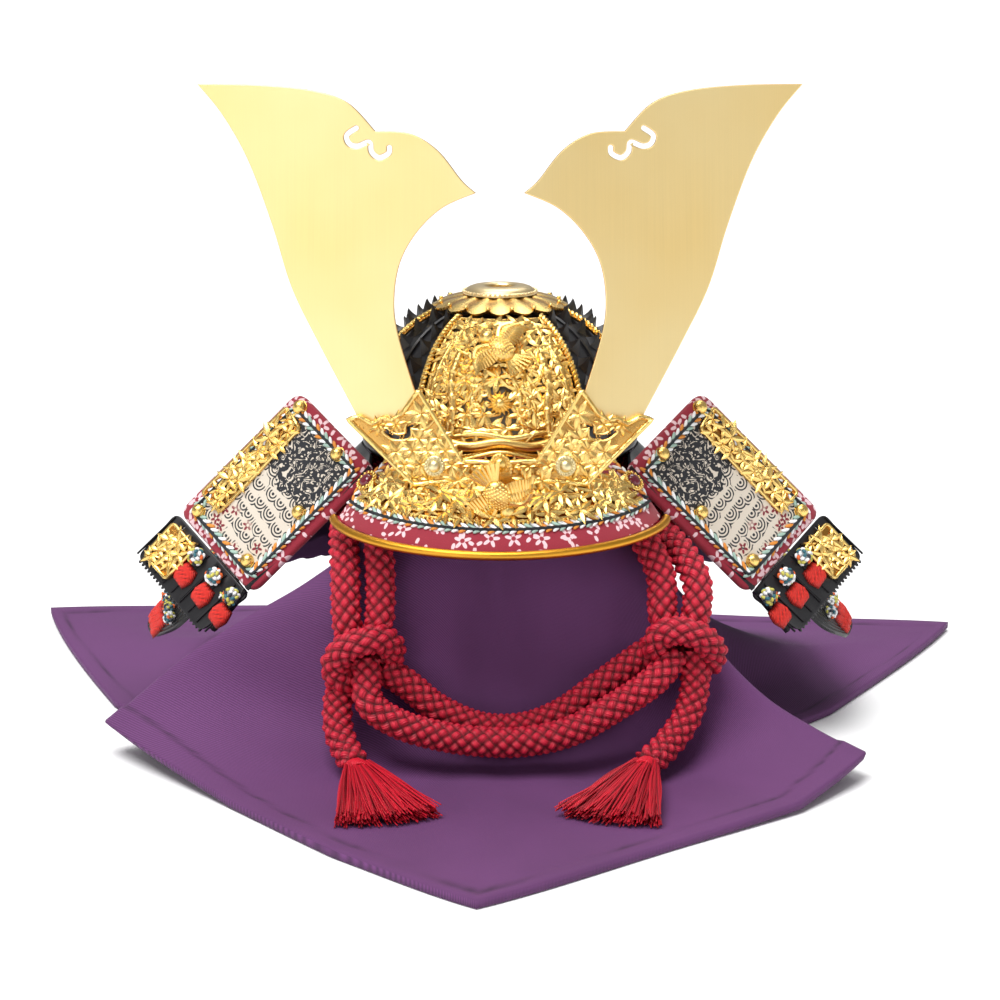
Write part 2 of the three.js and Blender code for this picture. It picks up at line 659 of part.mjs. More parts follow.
function buildHolder() {
  const left = holderSide();
  const plateFront = BOWL_LENGTH / 2 + GAP + PLATE_THICKNESS;
  const bridgeHalf = 0.3 * HOLDER_REACH;
  const bridge = box(
    [-bridgeHalf, bridgeHalf],
    [-HOLDER_FRONT - 0.4, -HOLDER_FRONT + HOLDER_THICKNESS],
    [HOLDER_BASE + 0.12 * HOLDER_RISE, HOLDER_BASE + 0.3 * HOLDER_RISE],
  );
  const tongue = box(
    [-3, 3],
    [-HOLDER_FRONT + 0.2, -plateFront - 2 * GAP],
    [RIM_HEIGHT + BROW_RISE + GAP, RIM_HEIGHT + BROW_RISE + 7],
  );
  add('horn_holder', join([left, mirrored(left), bridge, tongue]), 'gilt');

  Object.entries(RIVET_PLACES).forEach(([name, [x, up]]) => {
    const z = HOLDER_BASE + up * HOLDER_RISE;
    const lift = new THREE.Matrix4().makeTranslation(-Math.abs(x), up * HOLDER_RISE, RIVET_SEAT);
    const middle = frameFrom(vec(0, -HOLDER_FRONT - RIVET_SEAT, z), vec(1, 0, 0), vec(0, 0, 1));
    const head = domeHead(RIVET_RADIUS, RIVET_HEIGHT, x === 0 ? middle : hornFrame(0).multiply(lift));
    add(`holder_rivet_${name}`, x > 0 ? mirrored(head) : head, x === 0 ? 'gilt' : 'silver');
  });
}

function buildSparrow() {
  const centre = vec(0, -HOLDER_FRONT - SPARROW_SIZE * 1.5, RIM_HEIGHT - 0.2 * SPARROW_SIZE);
  const size = SPARROW_SIZE;
  const at = (x, y, z) => centre.clone().add(vec(x * size, y * size, z * size));
  const parts = [
    ellipsoid(at(0, 0, 0), vec(size * 0.62, size * 0.55, size * 0.9)),
    ellipsoid(at(0.1, -0.35, 0.95), vec(size * 0.42, size * 0.42, size * 0.42)),
    ellipsoid(at(-0.75, 0, 0.35), vec(size * 0.75, size * 0.16, size * 0.42), new THREE.Euler(0, 0.5, 0)),
    ellipsoid(at(0.75, 0, 0.35), vec(size * 0.75, size * 0.16, size * 0.42), new THREE.Euler(0, -0.5, 0)),
    ellipsoid(at(0, 0.55, -0.2), vec(size * 0.3, size * 0.75, size * 0.3)),
  ];
  add('holder_sparrow', join(parts), 'gilt');
}

// Neck guard: each lame is a band from the left fold round the back to the right fold.

const GUARD_HALF_WIDTH = BOWL_WIDTH / 2 + GUARD_FLARE;
const FOLD_TOP = vec(FOLD_INSET - BOWL_WIDTH / 2, FOLD_BACK - BOWL_LENGTH / 2, RIM_HEIGHT - 2);
const FOLD_LOW = FOLD_TOP.clone().add(vec(...WING_FALL));
const WING_EDGE = vec(...WING_SPREAD);

// Places of the lower edges: across, back and height from the left fold to the middle of the back,
// as shares of the guard's half width and drop.
const LAME_EDGES = [
  [[-0.685, -0.242, 0.375], [-0.71, -0.08, 0.405], [-0.74, 0.1, 0.43], [-0.645, 0.4, 0.46], [-0.37, 0.66, 0.472],
    [0, 0.758, 0.472]],
  [[-0.782, -0.202, 0.153], [-0.83, -0.04, 0.195], [-0.871, 0.12, 0.222], [-0.758, 0.484, 0.25],
    [-0.435, 0.774, 0.25], [0, 0.887, 0.25]],
  [[-0.976, 0.06, 0.014], [-0.99, 0.12, 0.02], [-0.995, 0.2, 0.028], [-0.871, 0.58, 0.07], [-0.5, 0.9, 0.097],
    [0, 1.02, 0.097]],
];
const LAME_ANGLES = [52, 68, 90, 125, 153, 180];

function lameEdge(row) {
  const low = RIM_HEIGHT - GUARD_DROP;
  return row.map(([x, y, z]) => vec(x * GUARD_HALF_WIDTH, y * GUARD_HALF_WIDTH, low + z * GUARD_DROP));
}

function smoothRow(points, columns) {
  const right = points.slice(0, -1).reverse().map((point) => vec(-point.x, point.y, point.z));
  const curve = new THREE.CatmullRomCurve3([...points, ...right], false, 'centripetal');
  return Array.from({ length: columns + 1 }, (_, i) => curve.getPoint(i / columns));
}

function rimRow() {
  return LAME_ANGLES.map((angle, i) => {
    const point = bowlPoint(-angle, 0, 2 * GAP);
    return i === 0 ? FOLD_TOP.clone() : point.setZ(RIM_HEIGHT - 0.5);
  });
}

function lameGrid(top, bottom, rows, sag) {
  return Array.from({ length: rows + 1 }, (_, r) => top.map((point, c) => {
    const share = r / rows;
    const place = point.clone().lerp(bottom[c], share);
    place.z -= sag * Math.sin(Math.PI * share);
    return place;
  }));
}

const LAME_COLUMNS = 20;
const LAP_SHARE = 0.96;

// The next lame starts outside the lower edge of the one above, and just below it at the folds.
function lapRow(grid) {
  const last = grid.length - 1;
  const outside = offset(grid, LAME_THICKNESS + 3 * GAP);
  return grid[last].map((edge, c) => {
    const fromEnd = Math.min(c, LAME_COLUMNS - c);
    if (fromEnd === 0) {
      return edge.clone().add(vec(0, 0, -2 * GAP));
    }
    const lap = fromEnd === 1 ? 1.02 : LAP_SHARE;
    return outside[last - 1][c].clone().lerp(outside[last][c], 1 - (1 - lap) * last);
  });
}

function wingFrame() {
  return frameFrom(FOLD_TOP, FOLD_LOW.clone().sub(FOLD_TOP), WING_EDGE.clone().negate());
}

// A place on the wing's face: down along the fold and out across, 0 to 1, in the wing's own frame.
function wingPlace(down, out) {
  const along = FOLD_LOW.clone().sub(FOLD_TOP);
  const point = along.multiplyScalar(down).addScaledVector(WING_EDGE, out);
  const frame = wingFrame();
  const axes = [new THREE.Vector3(), new THREE.Vector3(), new THREE.Vector3()];
  frame.extractBasis(...axes);
  return new THREE.Vector2(point.dot(axes[0]), point.dot(axes[1]));
}

function roundedWing(corners, radius) {
  const shape = new THREE.Shape();
  const points = corners.map(([down, out]) => wingPlace(down, out));
  points.forEach((corner, i) => {
    const before = points[(i + points.length - 1) % points.length];
    const after = points[(i + 1) % points.length];
    const enter = corner.clone().lerp(before, radius / corner.distanceTo(before));
    const leave = corner.clone().lerp(after, radius / corner.distanceTo(after));
    if (i === 0) {
      shape.moveTo(enter.x, enter.y);
    } else {
      shape.lineTo(enter.x, enter.y);
    }
    shape.quadraticCurveTo(corner.x, corner.y, leave.x, leave.y);
  });
  return shape;
}

const WING_CORNERS = [[-0.01, -0.04], [1, -0.04], [1, 1], [0, 1]];
const SMALL_WING_CORNERS = [[1.012, -0.03], [1.37, 0.05], [1.36, 0.98], [1.012, 1.01]];

function buildNeckGuard() {
  let top = smoothRow(rimRow(), LAME_COLUMNS);
  LAME_EDGES.forEach((row, k) => {
    const bottom = smoothRow(lameEdge(row), LAME_COLUMNS);
    const grid = lameGrid(top, bottom, k === 0 ? 3 : 2, k === 0 ? LAME_SAG : 0);
    const band = wall(grid, offset(grid, LAME_THICKNESS));
    let lame = band;
    if (k < 2) {
      const corners = k === 0 ? WING_CORNERS : SMALL_WING_CORNERS;
      const wing = slab(roundedWing(corners, k === 0 ? 5 : 3), WING_THICKNESS, wingFrame());
      lame = join([band, wing, mirrored(wing)]);
    }
    add(`neck_lame_${k + 1}`, lame, 'lacquer');
    top = lapRow(grid);
  });
}

const ORNAMENT_CORNERS = [[0.13, 0.7], [0.82, 0.68], [0.82, 0.96], [0.1, 0.96]];
const SMALL_ORNAMENT_CORNERS = [[1.05, 0.6], [1.32, 0.6], [1.32, 0.93], [1.05, 0.95]];

function wingOrnament(corners, leaves, gaps) {
  const lift = new THREE.Matrix4().makeTranslation(0, 0, GAP + ORNAMENT_THICKNESS);
  const frame = wingFrame().multiply(lift);
  const plate = slab(roundedWing(corners, 2), ORNAMENT_THICKNESS, frame, 2);
  const place = (share, across) => {
    const low = wingPlace(...corners[0]).lerp(wingPlace(...corners[1]), share);
    const high = wingPlace(...corners[3]).lerp(wingPlace(...corners[2]), share);
    return low.lerp(high, across);
  };
  const width = wingPlace(...corners[0]).distanceTo(wingPlace(...corners[3]));
  const tools = Array.from({ length: gaps }, (_, i) => {
    const point = place((i + 0.5) / gaps, i % 2 ? 0.3 : 0.68);
    return gapTool(frame, point.x, point.y, i % 2 ? 30 : -35, width * 0.42, width * 0.12, 3 * ORNAMENT_THICKNESS);
  });
  const sprays = Array.from({ length: leaves }, (_, i) => {
    const point = place((i + 0.5) / leaves, i % 2 ? 0.7 : 0.32);
    return leaf(frame, point.x, point.y, i % 2 ? 60 : -50, width * 0.55, width * 0.2, ORNAMENT_THICKNESS);
  });
  return join([cut(plate, tools), ...sprays]);
}

// Rivets of the large wing: down along the fold and out across.
const WING_RIVETS = [[0.08, 0.3], [0.47, 0.17], [0.88, 0.19], [0.9, 0.85], [0.055, 0.86]];

function buildWingFittings() {
  const large = wingOrnament(ORNAMENT_CORNERS, 6, 6);
  add('wing_ornament_left', large, 'gilt');
  add('wing_ornament_right', mirrored(large), 'gilt');
  const small = wingOrnament(SMALL_ORNAMENT_CORNERS, 3, 3);
  add('small_wing_ornament_left', small, 'gilt');
  add('small_wing_ornament_right', mirrored(small), 'gilt');
  WING_RIVETS.forEach(([down, out], i) => {
    const point = wingPlace(down, out);
    const frame = wingFrame().multiply(new THREE.Matrix4().makeTranslation(point.x, point.y, GAP));
    const rivet = domeHead(WING_RIVET_RADIUS, WING_RIVET_HEIGHT, frame, 8);
    add(`wing_rivet_left_${i + 1}`, rivet, 'gilt');
    add(`wing_rivet_right_${i + 1}`, mirrored(rivet), 'gilt');
  });
}

// Stand and cloth

const CLOTH_TOP = RIM_HEIGHT + BOWL_HEIGHT - BOWL_WALL - GAP;
const HEAD_TOP = CLOTH_TOP - CLOTH_THICKNESS - 2 * GAP;

function headDrop(radius) {
  return (radius * radius) / (2 * HEAD_ROUNDING);
}

function buildStand() {
  const profile = [[0, 0], [FOOT_RADIUS, 0], [FOOT_RADIUS, FOOT_HEIGHT], [POST_RADIUS, FOOT_HEIGHT + 3]];
  const brim = HEAD_TOP - headDrop(HEAD_RADIUS);
  profile.push([POST_RADIUS, brim - HEAD_SKIRT], [HEAD_RADIUS, brim - HEAD_SKIRT / 2], [HEAD_RADIUS, brim - HEAD_SKIRT / 4]);
  [0.8, 0.45, 0].forEach((share) => {
    const radius = share * HEAD_RADIUS;
    profile.push([radius, HEAD_TOP - headDrop(radius)]);
  });
  const post = new THREE.LatheGeometry(profile.map(([r, h]) => new THREE.Vector2(r, h)), 20);
  post.rotateX(Math.PI / 2);
  add('stand_post', weld(post), 'wood');
}

// Each fold of the cloth from the front round by the left, the back and the right: its turn from
// the front at the head and at the hem, then its distance out and height at five places down it,
// as shares of the cloth's reach and of the height of its top.
const CLOTH_COLUMNS = ['head', 'hem', 'waist', 'waistUp', 'knee', 'kneeUp', 'foot', 'footUp', 'mid', 'midUp', 'edge', 'edgeUp'];
const CLOTH_FOLDS = [
  [0, 2, 0.214, 0.42, 0.25, 0.17, 0.3, 0.045, 0.62, 0.014, 1, 0.014],
  [18, 19, 0.252, 0.42, 0.28, 0.17, 0.33, 0.045, 0.56, 0.014, 0.803, 0.014],
  [36, 40.7, 0.306, 0.42, 0.34, 0.21, 0.39, 0.07, 0.53, 0.026, 0.673, 0.016],
  [47, 75, 0.383, 0.42, 0.497, 0.325, 0.577, 0.24, 0.653, 0.145, 0.708, 0.075],
  [58, 84, 0.3, 0.4, 0.35, 0.2, 0.405, 0.07, 0.455, 0.022, 0.5, 0.014],
  [77, 97, 0.247, 0.42, 0.306, 0.21, 0.408, 0.06, 0.55, 0.022, 0.7, 0.014],
  [104, 131, 0.28, 0.42, 0.45, 0.2, 0.7, 0.07, 0.947, 0.03, 1.207, 0.018],
  [140, 148, 0.306, 0.42, 0.467, 0.2, 0.648, 0.08, 0.82, 0.03, 0.963, 0.016],
  [180, 180, 0.306, 0.42, 0.434, 0.2, 0.57, 0.08, 0.714, 0.026, 0.827, 0.014],
  [-140, -145, 0.296, 0.42, 0.439, 0.2, 0.602, 0.08, 0.755, 0.03, 0.886, 0.016],
  [-104, -127, 0.276, 0.42, 0.43, 0.2, 0.663, 0.07, 0.893, 0.03, 1.117, 0.018],
  [-77, -95, 0.247, 0.42, 0.296, 0.21, 0.378, 0.06, 0.485, 0.022, 0.6, 0.014],
  [-58, -76, 0.286, 0.4, 0.33, 0.2, 0.38, 0.07, 0.43, 0.022, 0.485, 0.014],
  [-48, -61, 0.357, 0.42, 0.434, 0.285, 0.53, 0.17, 0.62, 0.105, 0.704, 0.06],
  [-34, -42.7, 0.3, 0.42, 0.34, 0.2, 0.39, 0.06, 0.54, 0.026, 0.722, 0.022],
  [-17, -22, 0.25, 0.42, 0.28, 0.17, 0.33, 0.045, 0.55, 0.014, 0.765, 0.014],
];
const LEVELS = [['waist', 0.35], ['knee', 0.6], ['foot', 0.8], ['mid', 0.92], ['edge', 1]];

function foldLine(row) {
  const fold = Object.fromEntries(CLOTH_COLUMNS.map((name, i) => [name, row[i]]));
  const turned = (turn, radius, z) => vec(-radius * Math.sin(turn * DEG), -radius * Math.cos(turn * DEG), z);
  const crown = HEAD_RADIUS + CLOTH_THICKNESS + 3 * GAP;
  const points = [
    vec(0, 0, CLOTH_TOP),
    turned(fold.head, crown * 0.55, CLOTH_TOP - headDrop(crown * 0.55)),
    turned(fold.head, crown, CLOTH_TOP - headDrop(crown)),
    turned(fold.head, CLOTH_SHOULDER, CLOTH_TOP - headDrop(CLOTH_SHOULDER) * 2),
    turned(fold.head, CLOTH_CHEST, CLOTH_CHEST_HEIGHT),
  ];
  LEVELS.forEach(([name, share]) => {
    const turn = lerp(fold.head, fold.hem, share);
    points.push(turned(turn, fold[name] * CLOTH_REACH, fold[`${name}Up`] * CLOTH_TOP));
  });
  return points;
}

function buildCloth() {
  const lines = CLOTH_FOLDS.map(foldLine);
  const columns = 38;
  const rows = 11;
  const grid = Array.from({ length: rows + 1 }, (_, r) => {
    const ring = lines.map((points) => {
      const line = new THREE.CatmullRomCurve3(points, false, 'centripetal');
      return line.getPoint(r / rows);
    });
    if (r === 0) {
      return Array.from({ length: columns }, () => vec(0, 0, CLOTH_TOP));
    }
    const round = new THREE.CatmullRomCurve3(ring, true, 'centripetal');
    return Array.from({ length: columns }, (__, c) => {
      const point = round.getPoint(c / columns);
      point.z = Math.max(point.z, CLOTH_THICKNESS + GAP);
      return point;
    });
  });
  const under = offset(grid, -CLOTH_THICKNESS, true);
  under.forEach((row) => row.forEach((point) => {
    point.z = Math.max(point.z, 0.02);
  }));
  add('stand_cloth', wall(grid, under, true), 'cloth');
}

// Chin cord: routes chosen by hand, in millimetres.
const CORD_ROUTES = {
  cord_outer: [
    [-49, -61, 42], [-50.5, -59, 54], [-51, -53, 66], [-52, -40, 75], [-52, -20, 79], [-54, 8, 80], [-42, 36, 79],
    [0, 53, 80], [42, 36, 79], [54, 8, 80], [53, -14, 77], [55, -30, 75], [61.5, -45, 70], [65, -54, 63],
    [64, -59, 52], [62, -59, 45],
  ],
  cord_inner: [
    [-41, -61, 45], [-39.5, -59, 54], [-39.5, -53, 68], [-41, -43, 80], [-44, -25, 87], [-47, 4, 88], [-33, 35, 89],
    [0, 50, 89.5], [33, 35, 89], [47, 4, 88], [44, -24, 86], [47, -42, 78], [53, -53, 66], [53.5, -59, 54],
    [56, -59, 46],
  ],
  cord_swag_front: [
    [-44, -63, 39], [-42.5, -70, 27], [-34, -72, 21], [-20, -72, 16.5], [-6, -72, 14.5], [8, -72, 14.5],
    [23, -72, 18], [38, -70, 26], [50, -67, 33.5], [58, -61, 41],
  ],
  cord_swag_back: [
    [-39, -60, 36], [-31, -60, 31], [-21, -61, 23], [-6, -61.5, 16.5], [8, -61.5, 16.5], [20, -61, 21],
    [33, -59.5, 30], [46, -57, 39], [56, -58, 46],
  ],
  cord_tail_left: [[-50, -61, 39], [-53, -63, 28], [-53, -69, 18], [-50, -75, 12], [-47, -80, 9]],
  cord_tail_right: [[64, -60, 42], [64, -63, 30], [61, -67, 21], [54, -73, 13], [48, -80, 9.5]],
};
const KNOTS = { left: vec(-45, -61, 41), right: vec(60, -59, 45) };
const TASSELS = {
  left: { tip: vec(-46.5, -83.2, 7.8), turn: -17 },
  right: { tip: vec(47.4, -82.8, 8.4), turn: 20 },
};
const TASSEL_LOCKS = 7;
const TASSEL_SPREAD = 52;

function knotPiece(centre, grow) {
  const size = KNOT_SIZE;
  return join([
    ellipsoid(centre, vec(size * 0.95 + grow, size * 0.55 + grow, size * 0.95 + grow), new THREE.Euler(), 8, 5),
    ellipsoid(
      centre.clone().add(vec(0, -size / 6, 0)),
      vec(size * 1.05 + grow, size * 0.45 + grow, size * 0.42 + grow),
      new THREE.Euler(0, 0.6, 0),
      8,
      4,
    ),
  ]);
}

// A tassel lies on the cloth: a round head and a fan of flattened locks.
function tasselPiece(tip, turn) {
  const base = tip.clone();
  const parts = [ellipsoid(base.clone().add(vec(0, -4, 0)), vec(4.6, 6, 4.6), new THREE.Euler(), 8, 5)];
  for (let k = 0; k < TASSEL_LOCKS; k += 1) {
    const angle = turn + TASSEL_SPREAD * (k / (TASSEL_LOCKS - 1) - 0.5);
    const length = TASSEL_LENGTH * (k % 2 ? 1 : 0.95);
    const geometry = new THREE.CylinderGeometry(TASSEL_HEIGHT * 0.35, TASSEL_HEIGHT * 0.62, length, 5);
    geometry.translate(0, -length / 2 - 1, 0);
    geometry.scale(1, 1, 0.55);
    geometry.rotateX(Math.atan2(TASSEL_HEIGHT * 0.4, length));
    geometry.rotateZ(-angle * DEG);
    geometry.translate(base.x, base.y, base.z - 0.9);
    parts.push(weld(geometry));
  }
  return join(parts);
}

function buildCords() {
  const holds = Object.values(KNOTS).map((centre) => knotPiece(centre, GAP));
  Object.entries(TASSELS).forEach(([side, { tip, turn }]) => {
    add(`tassel_${side}`, tasselPiece(tip, turn), 'cord');
    add(`knot_${side}`, knotPiece(KNOTS[side], 0), 'cord');
  });
  Object.entries(CORD_ROUTES).forEach(([name, route]) => {
    const steps = Math.round(route.length * 1.4);
    const path = route.map(([x, y, z]) => vec(x, y, z));
    add(name, cut(tube(path, CORD_DIAMETER / 2, CORD_SIDES, steps), holds), 'cord');
  });
}

buildStand();
buildCloth();
buildBowl();
buildStrips();
buildFinial();
buildFrontPlate();
buildVisor();
buildHorns();
buildHolder();
buildSparrow();
buildNeckGuard();
buildWingFittings();
buildCords();

group.updateMatrixWorld(true);

export default group;
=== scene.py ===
# Looks of a miniature samurai helmet on a cloth-draped stand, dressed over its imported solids.
# Sizes here are in millimetres and turned to metres when a piece is made.
import json
import math
import random

import bmesh
import bpy
import numpy as np
from bpy.props import FloatProperty, FloatVectorProperty, IntProperty, PointerProperty
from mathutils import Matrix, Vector

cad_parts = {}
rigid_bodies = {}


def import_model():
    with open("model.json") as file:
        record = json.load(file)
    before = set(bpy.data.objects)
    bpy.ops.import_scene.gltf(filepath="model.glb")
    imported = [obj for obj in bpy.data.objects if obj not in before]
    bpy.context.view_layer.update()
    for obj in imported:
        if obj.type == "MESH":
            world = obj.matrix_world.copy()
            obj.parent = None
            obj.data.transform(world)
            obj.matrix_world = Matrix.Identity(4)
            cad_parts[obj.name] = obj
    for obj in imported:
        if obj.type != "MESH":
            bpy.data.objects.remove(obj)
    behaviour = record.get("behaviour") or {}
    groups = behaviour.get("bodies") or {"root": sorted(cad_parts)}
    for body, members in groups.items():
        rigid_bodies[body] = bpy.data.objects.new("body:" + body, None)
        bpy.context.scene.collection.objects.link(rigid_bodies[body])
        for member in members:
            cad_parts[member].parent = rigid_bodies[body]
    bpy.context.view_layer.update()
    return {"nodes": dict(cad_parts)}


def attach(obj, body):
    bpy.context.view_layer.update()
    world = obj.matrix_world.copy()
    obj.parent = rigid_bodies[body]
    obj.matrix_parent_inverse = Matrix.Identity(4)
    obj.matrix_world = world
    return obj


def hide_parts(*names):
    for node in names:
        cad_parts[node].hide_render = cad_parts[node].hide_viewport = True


bl_info = {
    "name": "Samurai Helmet",
    "version": (1, 0, 0),
    "blender": (4, 5, 0),
    "location": "View3D > Sidebar > Helmet",
    "description": "Dresses a miniature samurai helmet and its draped stand",
    "category": "Add Mesh",
}

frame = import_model()

MM = 0.001
DEG = math.pi / 180

# Sizes shared with the solids
GAP = 0.3
RIM_HEIGHT = 100
BOWL_HALF_WIDTH = 46
BOWL_HALF_LENGTH = 50
BOWL_HEIGHT = 49
BOWL_POWER = 0.8
BOWL_WALL = 2
RIB_STEP = 18
PLATE_ANGLE = 33
PLATE_CLIMBS = (0.07, 0.72)
PLATE_LIFT = 1.5
FINIAL_RADIUS = 22.2
FOLD_TOP = np.array((-43.0, -34.0, 98.0))
WING_FALL = np.array((-42.0, 4.0, -43.0))
WING_EDGE = np.array((-25.5, 24.5, 22.0))
LAME_THICKNESS = 1.6
GUARD_HALF_WIDTH = 124
GUARD_DROP = 72
CLOTH_TOP = 146.7
CLOTH_REACH = 196
CLOTH_THICKNESS = 1.6
HOLDER_FOOT = 97.3


def linear(colour):
    """An sRGB hex colour as the linear red, green, blue and alpha that the shaders take."""
    parts = [int(colour[i : i + 2], 16) / 255 for i in (1, 3, 5)]
    return [c / 12.92 if c <= 0.04045 else ((c + 0.055) / 1.055) ** 2.4 for c in parts] + [1.0]


def colour_choice(name, description, default):
    return FloatVectorProperty(
        name=name, description=description, default=linear(default)[:3], min=0, max=1, size=3, subtype="COLOR"
    )


def length_choice(name, description, default, least, most):
    return FloatProperty(
        name=name, description=description, default=default * MM, min=least * MM, max=most * MM,
        precision=5, subtype="DISTANCE", unit="LENGTH",
    )


class MetalChoices(bpy.types.PropertyGroup):
    """Colours and sizes of the gilt work"""

    horn: colour_choice("Horn gilding", "Pale satin gilding of the two horns", "#F6D283")
    horn_edge: colour_choice("Horn edge", "Deeper gold of the cut edge of the horns", "#C98A3C")
    gilt: colour_choice("Casting gilding", "Bright gilding on the raised parts of the castings", "#FAD682")
    # The recess colour is painted shade for the low points of the castings.
    recess: colour_choice("Casting recess", "Darker gold left in the hollows of the castings", "#B37426")
    leaf: length_choice("Leaf length", "Length of a cast bamboo leaf", 6.4, 3, 9)
    horn_bevel: length_choice("Horn bevel", "Width of the rounded edge of the horns", 0.3, 0.1, 0.45)


class HelmetChoices(bpy.types.PropertyGroup):
    """Colours and sizes of the bowl, leather and lacing"""

    lacquer: colour_choice("Lacquer", "Black lacquer of the bowl and the neck guard", "#121114")
    leather: colour_choice("Leather", "Crimson of the printed leather", "#9E1430")
    print_light: colour_choice("Print ground", "Pale ground of the printed panels", "#DDD2C2")
    print_dark: colour_choice("Print ink", "Dark ink of the printed panels", "#1F2127")
    lace: colour_choice("Lacing", "Silk of the lacing blocks", "#D8281C")
    stud_height: length_choice("Stud height", "Height of the thorn studs on the bowl", 5, 2, 6)
    braid_width: length_choice("Braid width", "Width of the flat braid round the panels", 3.0, 1.5, 4)


class SoftChoices(bpy.types.PropertyGroup):
    """Colours and sizes of the cloth, the cord and the tassels"""

    cloth: colour_choice("Cloth", "Purple of the twill cloth", "#643568")
    cord: colour_choice("Cord", "Crimson silk of the braided cord", "#BA1630")
    tassel: colour_choice("Tassel", "Crimson silk of the tassel threads", "#CC142D")
    bump: length_choice("Braid height", "Height of the plump stitches of the cord", 1.75, 0.3, 2.2)
    hem: length_choice("Hem width", "Width of the folded and stitched hem", 9, 4, 15)
    threads: IntProperty(
        name="Tassel threads", description="Threads in each tassel", default=420, min=40, max=500
    )


# Geometry


def unit(v):
    return v / np.linalg.norm(v)


def frame_from(origin, x_axis, y_axis):
    """A frame as the solids use it: x as given, z square to both, y turned to fit."""
    x = unit(np.asarray(x_axis, float))
    z = unit(np.cross(x, y_axis))
    made = np.eye(4)
    made[:3, 0], made[:3, 1], made[:3, 2], made[:3, 3] = x, np.cross(z, x), z, origin
    return made


def moved(frame_in, x=0.0, y=0.0, z=0.0, turn=0.0):
    """The frame shifted along its own axes, then turned about its own z, in degrees."""
    step = np.eye(4)
    c, s = math.cos(turn * DEG), math.sin(turn * DEG)
    step[:2, :2] = ((c, -s), (s, c))
    step[:3, 3] = (x, y, z)
    return frame_in @ step


def placed(frame_in, points):
    return np.asarray(points, float) @ frame_in[:3, :3].T + frame_in[:3, 3]


def centripetal(points, at, closed=False):
    """Points of the centripetal Catmull-Rom curve that the solids follow, at shares from 0 to 1."""
    p = np.asarray(points, float)
    n = len(p)
    made = []
    for share in at:
        place = (n if closed else n - 1) * share
        i = int(math.floor(place))
        w = place - i
        if not closed and i >= n - 1:
            i, w = n - 2, 1.0
        if closed:
            quad = [p[(i + k) % n] for k in (-1, 0, 1, 2)]
        else:
            quad = [
                p[i - 1] if i > 0 else 2 * p[0] - p[1],
                p[i],
                p[i + 1],
                p[i + 2] if i + 2 < n else 2 * p[-1] - p[-2],
            ]
        gaps = [max(np.linalg.norm(quad[k + 1] - quad[k]) ** 0.5, 1e-4) for k in range(3)]
        slope_in = (quad[1] - quad[0]) / gaps[0] - (quad[2] - quad[0]) / (gaps[0] + gaps[1])
        slope_in = (slope_in + (quad[2] - quad[1]) / gaps[1]) * gaps[1]
        slope_out = (quad[2] - quad[1]) / gaps[1] - (quad[3] - quad[1]) / (gaps[1] + gaps[2])
        slope_out = (slope_out + (quad[3] - quad[2]) / gaps[2]) * gaps[1]
        a, b = quad[1], quad[2]
        made.append(
            a + slope_in * w + (-3 * a + 3 * b - 2 * slope_in - slope_out) * w**2
            + (2 * a - 2 * b + slope_in + slope_out) * w**3
        )
    return np.array(made)


def distances(path):
    """How far along a path each of its points lies."""
    return np.concatenate(([0], np.cumsum(np.linalg.norm(np.diff(path, axis=0), axis=1))))


def even(path, step):
    """The path again with points about a step apart along it."""
    path = np.asarray(path, float)
    along = distances(path)
    count = max(2, int(round(along[-1] / step)) + 1)
    at = np.linspace(0, along[-1], count)
    return np.stack([np.interp(at, along, path[:, k]) for k in range(3)], axis=1)


def carried(path, closed=False):
    """Two directions square to a path at each point, carried along it without twist."""
    path = np.asarray(path, float)
    if closed:
        ahead = np.roll(path, -1, axis=0) - np.roll(path, 1, axis=0)
    else:
        ahead = np.gradient(path, axis=0)
    ahead = ahead / np.linalg.norm(ahead, axis=1)[:, None]
    first = np.cross(ahead[0], (0, 0, 1) if abs(ahead[0][2]) < 0.9 else (1, 0, 0))
    sides = [unit(first)]
    for direction in ahead[1:]:
        side = sides[-1] - direction * (sides[-1] @ direction)
        sides.append(unit(side))
    sides = np.array(sides)
    return sides, np.cross(ahead, sides)


def grid_faces(rows, columns, closed=False):
    r = np.arange(rows - 1)[:, None]
    c = np.arange(columns if closed else columns - 1)[None, :]
    a, b = r * columns + c, r * columns + (c + 1) % columns
    return np.stack([a, b, b + columns, a + columns], axis=-1).reshape(-1, 4).tolist()


def shell_faces(rows, columns):
    """Faces of an open grid's two sides, the second side's points after the first's, and of its edge."""
    count = rows * columns
    faces = grid_faces(rows, columns)
    faces += [[i + count for i in face[::-1]] for face in faces]
    edge = list(range(columns)) + [columns * r + columns - 1 for r in range(1, rows)]
    edge += [columns * (rows - 1) + c for c in range(columns - 2, -1, -1)]
    edge += [columns * r for r in range(rows - 2, 0, -1)]
    return faces + [[a, b, b + count, a + count] for a, b in zip(edge, edge[1:] + edge[:1])]


def tube_faces(rows, sides, closed):
    """Faces of a bar of rings, joined end to end where it is closed and capped where it is open."""
    faces = grid_faces(rows, sides, True)
    last = (rows - 1) * sides
    if closed:
        return faces + [[last + k, last + (k + 1) % sides, (k + 1) % sides, k] for k in range(sides)]
    return faces + [list(range(sides))[::-1], [last + k for k in range(sides)]]


